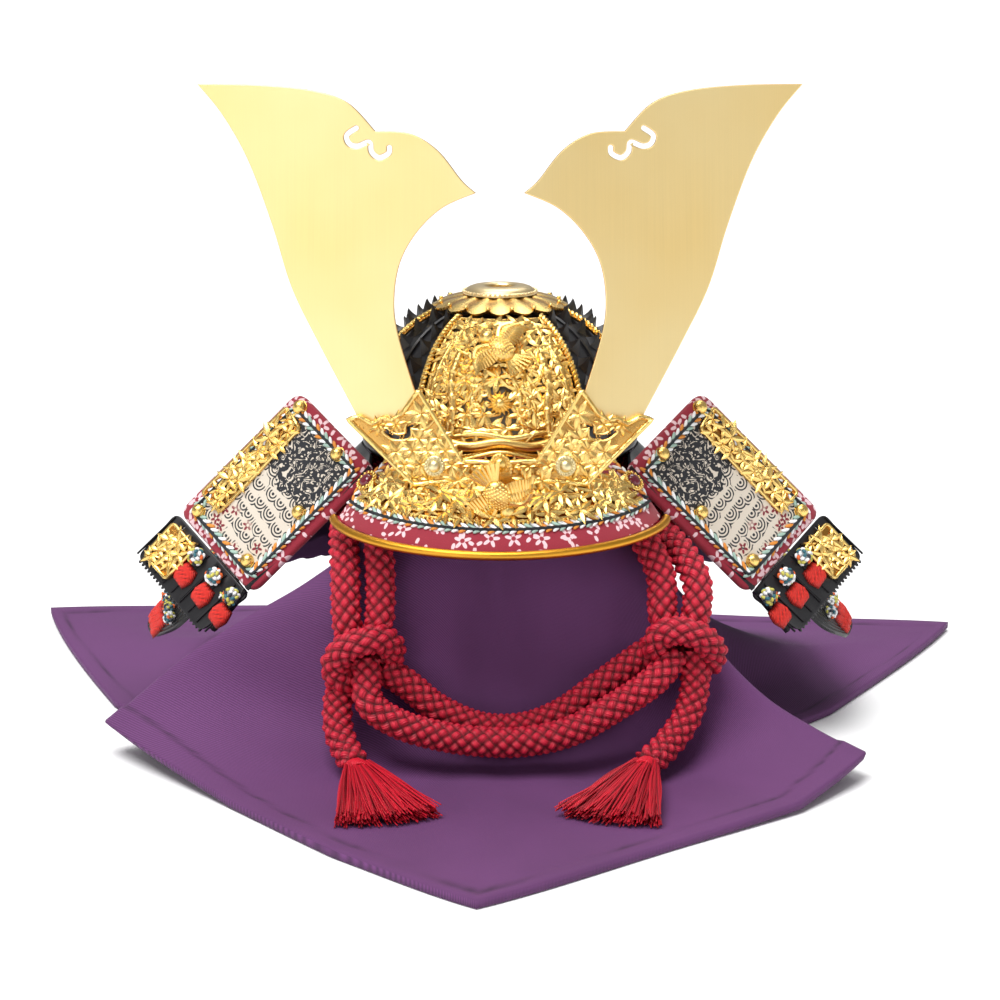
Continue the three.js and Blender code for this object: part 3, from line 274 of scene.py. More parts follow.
class Shape:
    """Closed bits of one piece: points in mm, faces, materials, pattern places and heights, which the cast,
    silk and twill finishes read for painted shade, and the silk also for painted highlights.
    """

    def __init__(self):
        self.points, self.faces, self.slots, self.places, self.rises = [], [], [], [], []
        self.total = 0

    def add(self, points, faces, slot=0, places=None, rises=0.7):
        points = np.asarray(points, float).reshape(-1, 3)
        count = len(points)
        self.points.append(points)
        self.places.append(
            np.zeros((count, 2)) if places is None else np.asarray(places, float).reshape(-1, 2)
        )
        self.rises.append(np.full(count, rises) if np.isscalar(rises) else np.asarray(rises, float).ravel())
        start = self.total
        self.faces.extend([[start + i for i in face] for face in faces])
        self.slots.extend([slot] * len(faces) if isinstance(slot, int) else slot)
        self.total += count

    def mirrored(self):
        other = Shape()
        other.points = [p * (-1, 1, 1) for p in self.points]
        other.faces = [face[::-1] for face in self.faces]
        other.slots, other.places, other.rises = list(self.slots), list(self.places), list(self.rises)
        other.total = self.total
        return other

    def make_pair(self, name, materials, slot, stands_for="", angle=40):
        """The piece and its mirror image; {} in a name is where left or right goes."""
        for shape, side in ((self, "left"), (self.mirrored(), "right")):
            nodes = [stands_for.format(side)] if stands_for else ()
            shape.make(name.format(side), materials, slot, nodes, angle)

    def make(self, name, materials, slot, stands_for=(), angle=40):
        mesh = bpy.data.meshes.new(name)
        mesh.from_pydata((np.vstack(self.points) * MM).tolist(), [], self.faces)
        corner = np.empty(len(mesh.loops), np.int32)
        mesh.loops.foreach_get("vertex_index", corner)
        layer = mesh.uv_layers.new(name="places")
        layer.data.foreach_set("uv", np.vstack(self.places)[corner].ravel().astype(np.float32))
        # rise: how high each point stands, read by the finishes to paint shade on low points.
        rise = mesh.attributes.new("rise", "FLOAT", "POINT")
        rise.data.foreach_set("value", np.concatenate(self.rises).astype(np.float32))
        mesh.polygons.foreach_set("material_index", np.array(self.slots, np.int32))
        for made in materials:
            mesh.materials.append(made)
        bm = bmesh.new()
        bm.from_mesh(mesh)
        bmesh.ops.recalc_face_normals(bm, faces=bm.faces)
        bm.to_mesh(mesh)
        bm.free()
        mesh.shade_smooth()
        mesh.set_sharp_from_angle(angle=angle * DEG)
        piece = bpy.data.objects.new(name, mesh)
        bpy.context.collection.objects.link(piece)
        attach(piece, "root")
        if stands_for:
            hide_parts(*stands_for)
        return piece


def tube(shape, path, radius, sides=8, slot=0, closed=False, rises=0.85, flat=1.0):
    """A round or flattened bar along a path, with flat caps where it is open."""
    path = np.asarray(path, float)
    side, over = carried(path, closed)
    radii = np.broadcast_to(np.asarray(radius, float), len(path))[:, None, None]
    turn = np.arange(sides) / sides * 2 * math.pi
    ring = np.cos(turn)[None, :, None] * side[:, None] + flat * np.sin(turn)[None, :, None] * over[:, None]
    points = path[:, None] + radii * ring
    faces = tube_faces(len(path), sides, closed)
    along = distances(path)
    places = np.stack(np.broadcast_arrays(along[:, None], turn[None, :] * np.mean(radii)), axis=-1)
    shape.add(points, faces, slot, places, rises)


def lathe(shape, frame_in, profile, sides=24, slot=0, rises=None):
    """A turned piece about the frame's z: radius and height pairs; a zero radius closes an end."""
    points, rings, levels = [], [], []
    for k, (radius, height) in enumerate(profile):
        level = 0.8 if rises is None else rises[k]
        if radius < 1e-6:
            rings.append([len(points)])
            points.append((0, 0, height))
            levels.append(level)
            continue
        rings.append([len(points) + s for s in range(sides)])
        for s in range(sides):
            turn = s / sides * 2 * math.pi
            points.append((radius * math.cos(turn), radius * math.sin(turn), height))
            levels.append(level)
    faces = []
    for low, high in zip(rings, rings[1:]):
        for s in range(sides):
            t = (s + 1) % sides
            if len(low) == 1 and len(high) > 1:
                faces.append([low[0], high[s], high[t]])
            elif len(high) == 1 and len(low) > 1:
                faces.append([low[s], low[t], high[0]])
            elif len(low) > 1:
                faces.append([low[s], low[t], high[t], high[s]])
    shape.add(placed(frame_in, points), faces, slot, rises=levels)


def ball(shape, frame_in, size, slot=0, across=12, down=8, rises=0.9):
    profile = [(math.sin(math.pi * k / down), -math.cos(math.pi * k / down)) for k in range(down + 1)]
    profile[0], profile[-1] = (0, -1), (0, 1)
    scaled = frame_in.copy()
    scaled[:3, :3] = frame_in[:3, :3] * np.asarray(size, float)
    lathe(shape, scaled, profile, across, slot, [rises] * len(profile))


LEAF_STATIONS = ((0.14, 0.5), (0.36, 1.0), (0.62, 0.78), (0.84, 0.36))


def leaf(shape, frame_in, length, width, rise, slot=0):
    """A cast leaf along the frame's x: pointed, with a sharp midrib and a sunk underside."""
    points = [(0, 0, 0.15 * rise)]
    levels = [0.45]
    for along, half in LEAF_STATIONS:
        x, w, h = along * length, half * width / 2, rise * (0.45 + 0.55 * half)
        points += [(x, w, 0.3 * h), (x, 0.12 * w, h), (x, -w, 0.3 * h), (x, 0, -0.4)]
        # Levels keep the midrib at the full gilt and give the sides and the sunk underside painted shade.
        levels += [0.5, 1.0, 0.5, 0.1]
    points.append((length, 0, 0.1 * rise))
    levels.append(0.6)
    faces = [[0, 1 + k, 1 + (k + 1) % 4] for k in range(4)]
    for r in range(len(LEAF_STATIONS) - 1):
        a = 1 + 4 * r
        faces += [[a + k, a + 4 + k, a + 4 + (k + 1) % 4, a + (k + 1) % 4] for k in range(4)]
    a, tip = 1 + 4 * (len(LEAF_STATIONS) - 1), len(points) - 1
    faces += [[a + k, tip, a + (k + 1) % 4] for k in range(4)]
    shape.add(placed(frame_in, points), faces, slot, rises=levels)


def spray(shape, frame_in, dice, count=5, size=5.2, spread=230, rise=1.3, turn=0.0, slot=0):
    """A fan of bamboo leaves about a point."""
    for k in range(count):
        share = (k / (count - 1) - 0.5) if count > 1 else 0
        angle = turn + share * spread + dice.uniform(-8, 8)
        length = size * (1 - 0.35 * abs(share)) * dice.uniform(0.9, 1.1)
        leaf(shape, moved(frame_in, z=dice.uniform(0, 0.2), turn=angle), length, length * 0.37, rise, slot)


def inside(point, outline):
    x, y = point
    hit = False
    for (ax, ay), (bx, by) in zip(outline, outline[1:] + outline[:1]):
        if (ay > y) != (by > y) and x < (bx - ax) * (y - ay) / (by - ay) + ax:
            hit = not hit
    return hit


def edge_distance(point, outline):
    p = np.asarray(point, float)
    a = np.asarray(outline, float)
    b = np.roll(a, -1, axis=0)
    d = b - a
    t = np.clip(((p - a) * d).sum(1) / (d * d).sum(1), 0, 1)
    return float(np.linalg.norm(a + d * t[:, None] - p, axis=1).min())


def smooth_stretch(points, steps):
    """A uniform Catmull-Rom curve in the plane, as the horns' outline uses."""
    p = [np.asarray(q, float) for q in points]
    made = []
    for i in range(len(p) - 1):
        p0, p1, p2 = p[max(i - 1, 0)], p[i], p[i + 1]
        p3 = p[min(i + 2, len(p) - 1)]
        v0, v1 = (p2 - p0) / 2, (p3 - p1) / 2
        for k in range(steps):
            w = k / steps
            made.append(
                (2 * p1 - 2 * p2 + v0 + v1) * w**3 + (-3 * p1 + 3 * p2 - 2 * v0 - v1) * w**2 + v0 * w + p1
            )
    return made + [p[-1]]


def stroke(points, width, steps=6):
    """The outline of a slot of that width with round ends along a plane curve."""
    line = np.array(smooth_stretch(points, steps))
    ahead = np.gradient(line, axis=0)
    ahead /= np.linalg.norm(ahead, axis=1)[:, None]
    square = np.stack([-ahead[:, 1], ahead[:, 0]], axis=1) * width / 2
    tips = []
    for end, direction in ((-1, 1), (0, -1)):
        for share in (-0.5, 0, 0.5):
            side = square[end] * -direction * math.sin(share * math.pi * 0.6)
            tips.append(
                line[end] + direction * ahead[end] * width / 2 * math.cos(share * math.pi * 0.6) + side * -1
            )
    return [tuple(p) for p in (*(line - square), *tips[:3], *(line + square)[::-1], *tips[3:])]


def plate(shape, frame_in, outlines, thickness, bevel, slots=(0, 1), rises=(0.85, 0.85), top=0.0):
    """A flat plate with rounded edges, its face at top; the first outline is its edge, the rest are holes."""
    data = bpy.data.curves.new("outline", "CURVE")
    data.dimensions, data.fill_mode = "2D", "BOTH"
    data.extrude, data.bevel_depth, data.bevel_resolution = thickness / 2 - bevel, bevel, 1
    data.offset = -bevel
    for outline in outlines:
        spline = data.splines.new("POLY")
        spline.points.add(len(outline) - 1)
        for point, (x, y) in zip(spline.points, outline):
            point.co = (x, y, 0, 1)
        spline.use_cyclic_u = True
    holder = bpy.data.objects.new("outline", data)
    bpy.context.collection.objects.link(holder)
    bpy.context.view_layer.update()
    mesh = bpy.data.meshes.new_from_object(holder.evaluated_get(bpy.context.evaluated_depsgraph_get()))
    bm = bmesh.new()
    bm.from_mesh(mesh)
    bmesh.ops.remove_doubles(bm, verts=bm.verts, dist=0.01)
    bm.verts.index_update()
    bm.normal_update()
    points = np.array([v.co for v in bm.verts])
    faces = [[v.index for v in f.verts] for f in bm.faces]
    flats = [abs(f.normal.z) > 0.9 for f in bm.faces]
    bm.free()
    bpy.data.objects.remove(holder)
    bpy.data.curves.remove(data)
    bpy.data.meshes.remove(mesh)
    places = points[:, :2].copy()
    points[:, 2] += top - thickness / 2
    shape.add(
        placed(frame_in, points), faces, [slots[0] if flat else slots[1] for flat in flats], places, rises[0]
    )


def bowl_point(angle, climb, lift=0.0):
    """A point of the bowl: angle round from the front, climb 0 at the rim to 1 at the crown."""
    spread = max(math.cos(climb * math.pi / 2), 0) ** BOWL_POWER
    rise = max(math.sin(climb * math.pi / 2), 0) ** BOWL_POWER
    return np.array((
        (BOWL_HALF_WIDTH + lift) * spread * math.sin(angle * DEG),
        -(BOWL_HALF_LENGTH + lift) * spread * math.cos(angle * DEG),
        RIM_HEIGHT + (BOWL_HEIGHT + lift) * rise,
    ))


def bowl_frame(angle, climb, lift=0.0):
    side = bowl_point(angle + 1, climb, lift) - bowl_point(angle - 1, climb, lift)
    rise = bowl_point(angle, climb + 0.01, lift) - bowl_point(angle, climb - 0.01, lift)
    return frame_from(bowl_point(angle, climb, lift), side, rise)


def climb_at_radius(radius):
    return math.acos(min(radius / BOWL_HALF_WIDTH, 1) ** (1 / BOWL_POWER)) / (math.pi / 2)


def visor_point(side, out, lift=0.0):
    """A point of the visor's upper face: side -1 to 1 across, out 0 at the brow to 1 at the edge."""
    brow, edge = side * 45 * DEG, side * math.pi / 2
    inner = np.array((48.1 * math.sin(brow), -52.1 * math.cos(brow), 103.0))
    reach = max(math.cos(edge), 0)
    outer = np.array((53 * math.sin(edge), -45 - 35 * reach**1.3, 80 + 4.5 * (1 - reach)))
    point = inner + (outer - inner) * out
    point[2] += 2.5 * math.sin(math.pi * out)
    if lift:
        point = point + lift * visor_frame(side, out)[:3, 2]
    return point


def visor_frame(side, out):
    across = visor_point(side + 0.02, out) - visor_point(side - 0.02, out)
    along = visor_point(side, out - 0.05) - visor_point(side, out + 0.05)
    return frame_from(visor_point(side, out), across, along)


def horn_frame(depth=0.0):
    inward = (math.cos(8 * DEG), -math.sin(8 * DEG), 0)
    up = (0, math.sin(6 * DEG), math.cos(6 * DEG))
    return moved(frame_from((0, -63, HOLDER_FOOT), inward, up), z=depth)


def wing_frame(lift=0.0):
    return moved(frame_from(FOLD_TOP, WING_FALL, -WING_EDGE), z=lift)


def wing_place(down, out):
    """A place on the wing's face, down along the fold and out across, in the wing's own frame."""
    point = WING_FALL * down + WING_EDGE * out
    axes = wing_frame()[:3, :3]
    return np.array((point @ axes[:, 0], point @ axes[:, 1]))


# Materials


def add_node(tree, kind, inputs=None, **settings):
    """Adds a shader node with its settings, and gives each named input a value or another node's output."""
    made = tree.nodes.new("ShaderNode" + kind)
    for name, value in settings.items():
        setattr(made, name, value)
    for key, value in (inputs or {}).items():
        if isinstance(value, bpy.types.NodeSocket):
            tree.links.new(value, made.inputs[key])
        else:
            made.inputs[key].default_value = value
    return made


def surface(name, **values):
    """An empty material with its principled shader; values are the shader's own sockets."""
    made = bpy.data.materials.new(name)
    made.use_nodes = True
    tree = made.node_tree
    tree.nodes.clear()
    shader = add_node(tree, "BsdfPrincipled", {key.replace("_", " "): value for key, value in values.items()})
    add_node(tree, "OutputMaterial", {"Surface": shader.outputs["BSDF"]})
    return made, tree, shader


def ramp(tree, factor, stops):
    made = add_node(tree, "ValToRGB", {"Fac": factor})
    elements = made.color_ramp.elements
    while len(elements) < len(stops):
        elements.new(0.5)
    for element, (place, colour) in zip(elements, stops):
        element.position, element.color = place, colour
    return made.outputs["Color"]


def choices(group):
    return getattr(bpy.context.scene, group)


def chosen(colour):
    return [*colour, 1.0]


def darker(colour, share):
    return [c * share for c in colour[:3]] + [1.0]


def satin_gilt_sheet():
    """Brass sheet, brushed upright and gilt: its fine grain spreads the light into a soft, pale sheen."""
    metal = choices("metal_choices")
    made, tree, shader = surface("satin gilt sheet, brushed", Metallic=1.0, Roughness=0.42)
    places = add_node(tree, "UVMap", uv_map="places").outputs["UV"]
    # The brushed lines are about 0.35 mm apart and 60 mm long.
    grain = add_node(tree, "Mapping", {"Vector": places, "Scale": (2.8, 0.016, 1.0)}).outputs["Vector"]
    lines = add_node(tree, "TexNoise", {"Vector": grain, "Scale": 1.0, "Detail": 5.0, "Roughness": 0.65})
    cloudy = add_node(tree, "TexNoise", {"Vector": places, "Scale": 0.018, "Detail": 2.0})
    base = chosen(metal.horn)
    tone = ramp(tree, lines.outputs["Fac"], ((0.3, darker(base, 0.93)), (0.7, base)))
    mixed = add_node(
        tree, "Mix", {0: cloudy.outputs["Fac"], 6: tone, 7: linear("#FBE9B4")}, data_type="RGBA",
        blend_type="MIX"
    )
    tree.links.new(mixed.outputs[2], shader.inputs["Base Color"])
    bump = add_node(tree, "Bump", {"Height": lines.outputs["Fac"], "Strength": 0.12, "Distance": 0.0001})
    tree.links.new(bump.outputs["Normal"], shader.inputs["Normal"])
    return made


def gilt_edge():
    """The cut and polished edge of gilt sheet: a deeper, glossier line of gold round the plates."""
    made, tree, shader = surface("gilt edge, polished", Metallic=1.0, Roughness=0.28)
    spots = add_node(tree, "TexNoise", {"Scale": 420.0, "Detail": 3.0})
    base = chosen(choices("metal_choices").horn_edge)
    tone = ramp(tree, spots.outputs["Fac"], ((0.3, darker(base, 0.85)), (0.75, base)))
    tree.links.new(tone, shader.inputs["Base Color"])
    return made


def cast_gilt(name="cast gilt brass", roughness=0.26, low=None, high=None):
    """Brass cast in relief and gilt: crests are bright and hollows take a darker, browner gold, which is
    painted shade set by how high each point stands.
    """
    metal = choices("metal_choices")
    made, tree, shader = surface(name, Metallic=1.0, Roughness=roughness)
    rise = add_node(tree, "Attribute", attribute_name="rise").outputs["Fac"]
    # Casting skin: pits of about 0.5 mm.
    skin = add_node(tree, "TexNoise", {"Scale": 1900.0, "Detail": 4.0, "Roughness": 0.6})
    # Painted shade: low points take the recess colour and crests the gilt; the casting skin stirs the level
    # only a little.
    lift = add_node(tree, "Math", {0: skin.outputs["Fac"], 1: 0.22, 2: rise}, operation="MULTIPLY_ADD")
    crest = high or chosen(metal.gilt)
    hollow = low or chosen(metal.recess)
    middle = [0.45 * a + 0.55 * b for a, b in zip(hollow, crest)]
    tone = ramp(tree, lift.outputs[0], ((0.12, hollow), (0.55, middle), (0.95, crest)))
    tree.links.new(tone, shader.inputs["Base Color"])
    bump = add_node(tree, "Bump", {"Height": skin.outputs["Fac"], "Strength": 0.35, "Distance": 0.0001})
    tree.links.new(bump.outputs["Normal"], shader.inputs["Normal"])
    return made


def black_lacquer():
    """Leather and iron under satin black lacquer: deep black with a soft gloss and faint dust."""
    made, tree, shader = surface("black lacquer, satin", Roughness=0.36, Coat_Weight=0.25, Coat_Roughness=0.3)
    base = chosen(choices("helmet_choices").lacquer)
    dust = add_node(tree, "TexNoise", {"Scale": 260.0, "Detail": 5.0, "Roughness": 0.7})
    tone = ramp(tree, dust.outputs["Fac"], ((0.45, base), (0.9, linear("#262428"))))
    tree.links.new(tone, shader.inputs["Base Color"])
    bump = add_node(tree, "Bump", {"Height": dust.outputs["Fac"], "Strength": 0.08, "Distance": 0.0002})
    tree.links.new(bump.outputs["Normal"], shader.inputs["Normal"])
    return made


def flower_mask(tree, places, pitch, radius, petals, depth):
    """A factor of 1 on small flowers scattered about a pitch apart, in mm."""
    cells = add_node(
        tree, "TexVoronoi", {"Vector": places, "Scale": 1 / pitch, "Randomness": 0.65},
        voronoi_dimensions="2D"
    )
    aside = add_node(
        tree, "VectorMath", {0: places, 1: cells.outputs["Position"]}, operation="SUBTRACT"
    ).outputs[0]
    parts = add_node(tree, "SeparateXYZ", {0: aside})
    angle = add_node(tree, "Math", {0: parts.outputs[1], 1: parts.outputs[0]}, operation="ARCTAN2").outputs[0]
    shade = add_node(tree, "SeparateXYZ", {0: cells.outputs["Color"]}).outputs[0]
    spun = add_node(tree, "Math", {0: shade, 1: 6.28, 2: angle}, operation="MULTIPLY_ADD").outputs[0]
    waves = add_node(tree, "Math", {0: spun, 1: float(petals)}, operation="MULTIPLY").outputs[0]
    wave = add_node(tree, "Math", {0: waves}, operation="COSINE").outputs[0]
    reach = add_node(
        tree, "Math", {0: wave, 1: depth * radius, 2: radius * (1 - depth)}, operation="MULTIPLY_ADD"
    ).outputs[0]
    away = add_node(tree, "VectorMath", {0: aside}, operation="LENGTH").outputs["Value"]
    within = add_node(tree, "Math", {0: reach, 1: away}, operation="SUBTRACT").outputs[0]
    edge = add_node(tree, "MapRange", {"Value": within, "From Min": -0.05, "From Max": 0.12}).outputs[0]
    heart = add_node(
        tree, "MapRange", {"Value": away, "From Min": 0.22 * radius, "From Max": 0.3 * radius}
    ).outputs[0]
    return add_node(tree, "Math", {0: edge, 1: heart}, operation="MULTIPLY").outputs[0]


def printed_leather():
    """Doeskin dyed crimson, stencilled with pale blossoms and sprigs: matt, the print a little worn."""
    helmet = choices("helmet_choices")
    made, tree, shader = surface(
        "printed doeskin, crimson", Roughness=0.78, Sheen_Weight=0.3, Sheen_Roughness=0.5
    )
    places = add_node(tree, "UVMap", uv_map="places").outputs["UV"]
    # Suede nap of about 0.3 mm.
    nap = add_node(tree, "TexNoise", {"Vector": places, "Scale": 3.2, "Detail": 6.0, "Roughness": 0.7})
    base = chosen(helmet.leather)
    dyed = ramp(
        tree, nap.outputs["Fac"], ((0.3, darker(base, 0.62)), (0.62, base), (0.85, linear("#C84A62")))
    )
    blossoms = flower_mask(tree, places, 10.0, 3.1, 5, 0.36)
    sprigs_at = add_node(
        tree, "Mapping", {"Vector": places, "Location": (2.3, 4.1, 0), "Rotation": (0, 0, 0.7)}
    )
    sprigs = flower_mask(tree, sprigs_at.outputs["Vector"], 7.8, 2.7, 3, 0.62)
    both = add_node(tree, "Math", {0: blossoms, 1: sprigs}, operation="MAXIMUM").outputs[0]
    worn = add_node(
        tree, "MapRange", {"Value": nap.outputs["Fac"], "From Min": 0.3, "From Max": 0.42}
    ).outputs[0]
    shown = add_node(tree, "Math", {0: both, 1: worn}, operation="MULTIPLY").outputs[0]
    mixed = add_node(tree, "Mix", {0: shown, 6: dyed, 7: linear("#EBC8CE")}, data_type="RGBA")
    tree.links.new(mixed.outputs[2], shader.inputs["Base Color"])
    bump = add_node(tree, "Bump", {"Height": nap.outputs["Fac"], "Strength": 0.5, "Distance": 0.0002})
    tree.links.new(bump.outputs["Normal"], shader.inputs["Normal"])
    return made


def printed_panel():
    """Pale doeskin stencilled in black with worm strokes and rows of arcs, and a few dark red blossoms."""
    helmet = choices("helmet_choices")
    made, tree, shader = surface("stencilled doeskin, black on cream", Roughness=0.8, Sheen_Weight=0.15)
    places = add_node(tree, "UVMap", uv_map="places").outputs["UV"]
    nap = add_node(tree, "TexNoise", {"Vector": places, "Scale": 3.6, "Detail": 5.0, "Roughness": 0.7})
    # Dark part: cream strokes along the contours of a swirl. Pale part: rows of arcs 1.15 mm apart.
    swirl = add_node(
        tree, "TexNoise",
        {"Vector": places, "Scale": 0.3, "Detail": 0.6, "Roughness": 0.4, "Distortion": 0.4},
        noise_dimensions="2D",
    )
    breaks = add_node(
        tree, "TexNoise", {"Vector": places, "Scale": 0.62, "Detail": 1.0}, noise_dimensions="2D"
    )
    phase = add_node(tree, "Math", {0: swirl.outputs["Fac"], 1: 44.0}, operation="MULTIPLY").outputs[0]
    strokes = add_node(tree, "Math", {0: phase}, operation="SINE").outputs[0]
    gap = add_node(
        tree, "MapRange",
        {"Value": breaks.outputs["Fac"], "From Min": 0.4, "From Max": 0.55, "To Min": 0.0, "To Max": 1.2}
    ).outputs[0]
    dark_side = add_node(tree, "Math", {0: gap, 1: strokes}, operation="SUBTRACT").outputs[0]
    curls = add_node(
        tree, "TexVoronoi", {"Vector": places, "Scale": 0.19, "Randomness": 0.45}, voronoi_dimensions="2D"
    )
    rings = add_node(
        tree, "Math", {0: curls.outputs["Distance"], 1: 2 * math.pi / (1.15 * 0.19)}, operation="MULTIPLY"
    ).outputs[0]
    ring_wave = add_node(tree, "Math", {0: rings}, operation="SINE").outputs[0]
    aside = add_node(
        tree, "VectorMath", {0: places, 1: curls.outputs["Position"]}, operation="SUBTRACT"
    ).outputs[0]
    open_side = add_node(tree, "SeparateXYZ", {0: aside}).outputs[0]
    pale_level = add_node(
        tree, "MapRange",
        {"Value": open_side, "From Min": -0.9, "From Max": -0.3, "To Min": 1.2, "To Max": 0.1}
    ).outputs[0]
    pale_side = add_node(tree, "Math", {0: ring_wave, 1: pale_level}, operation="SUBTRACT").outputs[0]
    parts = add_node(tree, "SeparateXYZ", {0: places})
    region = add_node(
        tree, "TexNoise", {"Vector": places, "Scale": 0.07, "Detail": 1.0}, noise_dimensions="2D"
    )
    bent = add_node(
        tree, "Math", {0: region.outputs["Fac"], 1: 40.0, 2: parts.outputs[0]}, operation="MULTIPLY_ADD"
    ).outputs[0]
    pale = add_node(tree, "MapRange", {"Value": bent, "From Min": 46.0, "From Max": 47.0}).outputs[0]
    over = add_node(tree, "Mix", {0: pale, 2: dark_side, 3: pale_side}, data_type="FLOAT").outputs[0]
    ink = add_node(tree, "MapRange", {"Value": over, "From Min": -0.15, "From Max": 0.15}).outputs[0]
    ground = ramp(
        tree, nap.outputs["Fac"],
        ((0.3, darker(chosen(helmet.print_light), 0.86)), (0.6, chosen(helmet.print_light))),
    )
    inked = add_node(
        tree, "Mix", {0: ink, 6: ground, 7: chosen(helmet.print_dark)}, data_type="RGBA"
    ).outputs[2]
    low_end = add_node(
        tree, "MapRange", {"Value": parts.outputs[0], "From Min": 44.0, "From Max": 47.0}
    ).outputs[0]
    halo = flower_mask(tree, places, 6.5, 2.6, 5, 0.12)
    haloed = add_node(tree, "Math", {0: halo, 1: low_end}, operation="MULTIPLY").outputs[0]
    ringed = add_node(tree, "Mix", {0: haloed, 6: inked, 7: linear("#D9C9B8")}, data_type="RGBA").outputs[2]
    petals = flower_mask(tree, places, 6.5, 2.1, 5, 0.3)
    petalled = add_node(tree, "Math", {0: petals, 1: low_end}, operation="MULTIPLY").outputs[0]
    flowered = add_node(
        tree, "Mix", {0: petalled, 6: ringed, 7: linear("#7E1F2E")}, data_type="RGBA"
    ).outputs[2]
    tree.links.new(flowered, shader.inputs["Base Color"])
    bump = add_node(tree, "Bump", {"Height": nap.outputs["Fac"], "Strength": 0.35, "Distance": 0.0002})
    tree.links.new(bump.outputs["Normal"], shader.inputs["Normal"])
    return made


def silk(name, colour, shadow=0.45, threads=0.35, roughness=0.55):
    """Floss silk: fine lines between its threads, painted shade in the hollows between its stitches and a
    painted highlight on their crests.
    """
    made, tree, shader = surface(name, Roughness=roughness)
    rise = add_node(tree, "Attribute", attribute_name="rise").outputs["Fac"]
    places = add_node(tree, "UVMap", uv_map="places").outputs["UV"]
    lines = add_node(
        tree, "TexWave",
        {"Vector": places, "Scale": 0.444 / threads, "Distortion": 1.6, "Detail": 2.0, "Detail Scale": 2.0},
        wave_type="BANDS", bands_direction="DIAGONAL",
    )
    level = add_node(
        tree, "Math", {0: lines.outputs["Fac"], 1: 0.22, 2: rise}, operation="MULTIPLY_ADD"
    ).outputs[0]
    base = chosen(colour) if len(colour) == 3 else colour
    # Painted shade on the low points of the stitches, and a painted highlight brighter than the silk on their
    # crests.
    tone = ramp(
        tree, level,
        ((0.1, darker(base, shadow * 0.15)), (0.55, darker(base, 0.7)), (1.05, darker(base, 1.3))),
    )
    tree.links.new(tone, shader.inputs["Base Color"])
    bump = add_node(tree, "Bump", {"Height": lines.outputs["Fac"], "Strength": 0.6, "Distance": 0.0003})
    tree.links.new(bump.outputs["Normal"], shader.inputs["Normal"])
    return made


def purple_twill():
    """Polyester twill dyed purple: fine slanted ribs with a dull sheen that lightens the folds."""
    soft = choices("soft_choices")
    made, tree, shader = surface("purple twill", Roughness=0.82, Sheen_Weight=0.12, Sheen_Roughness=0.4)
    shader.inputs["Sheen Tint"].default_value = linear("#B08ABD")
    places = add_node(tree, "UVMap", uv_map="places").outputs["UV"]
    # The real ribs are near 0.5 mm; they are drawn 0.8 mm apart so that they still show.
    twill = add_node(
        tree, "TexWave",
        {"Vector": places, "Scale": 0.444 / 0.8, "Distortion": 0.3, "Detail": 1.0, "Detail Scale": 1.5},
        wave_type="BANDS", bands_direction="DIAGONAL",
    )
    yarn = add_node(tree, "TexNoise", {"Vector": places, "Scale": 2.4, "Detail": 4.0, "Roughness": 0.7})
    slow = add_node(tree, "TexNoise", {"Vector": places, "Scale": 0.012, "Detail": 3.0})
    weave = add_node(
        tree, "Math", {0: twill.outputs["Fac"], 1: 0.5, 2: 0.0}, operation="MULTIPLY_ADD"
    ).outputs[0]
    both = add_node(
        tree, "Math", {0: yarn.outputs["Fac"], 1: 0.5, 2: weave}, operation="MULTIPLY_ADD"
    ).outputs[0]
    base = chosen(soft.cloth)
    tone = ramp(tree, both, ((0.2, darker(base, 0.6)), (0.5, base), (0.85, darker(base, 1.35))))
    shade = add_node(
        tree, "MapRange",
        {"Value": slow.outputs["Fac"], "From Min": 0.3, "From Max": 0.7, "To Min": 0.9, "To Max": 1.08},
    )
    # rise carries the painted shade of the hem's stitched valley.
    rise = add_node(tree, "Attribute", attribute_name="rise").outputs["Fac"]
    seam_shade = add_node(tree, "Math", {0: shade.outputs[0], 1: rise}, operation="MULTIPLY").outputs[0]
    mixed = add_node(tree, "VectorMath", {0: tone, "Scale": seam_shade}, operation="SCALE")
    tree.links.new(mixed.outputs[0], shader.inputs["Base Color"])
    bump = add_node(tree, "Bump", {"Height": both, "Strength": 0.45, "Distance": 0.00025})
    tree.links.new(bump.outputs["Normal"], shader.inputs["Normal"])
    return made


def garnet_glass():
    """Small dark red glass: glossy and deep."""
    made, tree, shader = surface("garnet glass", Roughness=0.08, IOR=1.5, Coat_Weight=0.6)
    depth = add_node(tree, "TexNoise", {"Scale": 500.0, "Detail": 2.0})
    tone = ramp(tree, depth.outputs["Fac"], ((0.3, linear("#4A0717")), (0.7, linear("#8E1234"))))
    tree.links.new(tone, shader.inputs["Base Color"])
    return made


def pale_wood():
    """Plain turned wood, sanded: long soft grain."""
    made, tree, shader = surface("turned beech", Roughness=0.6)
    where = add_node(tree, "TexCoord").outputs["Object"]
    # Growth lines of about 2 mm, drawn out upright.
    grain_at = add_node(tree, "Mapping", {"Vector": where, "Scale": (500.0, 500.0, 30.0)}).outputs["Vector"]
    grain = add_node(tree, "TexNoise", {"Vector": grain_at, "Scale": 1.0, "Detail": 5.0, "Roughness": 0.6})
    tone = ramp(tree, grain.outputs["Fac"], ((0.3, linear("#A87B4B")), (0.7, linear("#D2A873"))))
    tree.links.new(tone, shader.inputs["Base Color"])
    bump = add_node(tree, "Bump", {"Height": grain.outputs["Fac"], "Strength": 0.15, "Distance": 0.0003})
    tree.links.new(bump.outputs["Normal"], shader.inputs["Normal"])
    return made


def white_paper():
    """Seamless white paper under the object."""
    made, tree, shader = surface("white paper", Roughness=0.85)
    fibre = add_node(tree, "TexNoise", {"Scale": 40.0, "Detail": 3.0})
    tone = ramp(tree, fibre.outputs["Fac"], ((0.3, linear("#FAFAFA")), (0.7, linear("#FDFDFD"))))
    tree.links.new(tone, shader.inputs["Base Color"])
    return made


_finishes = {}


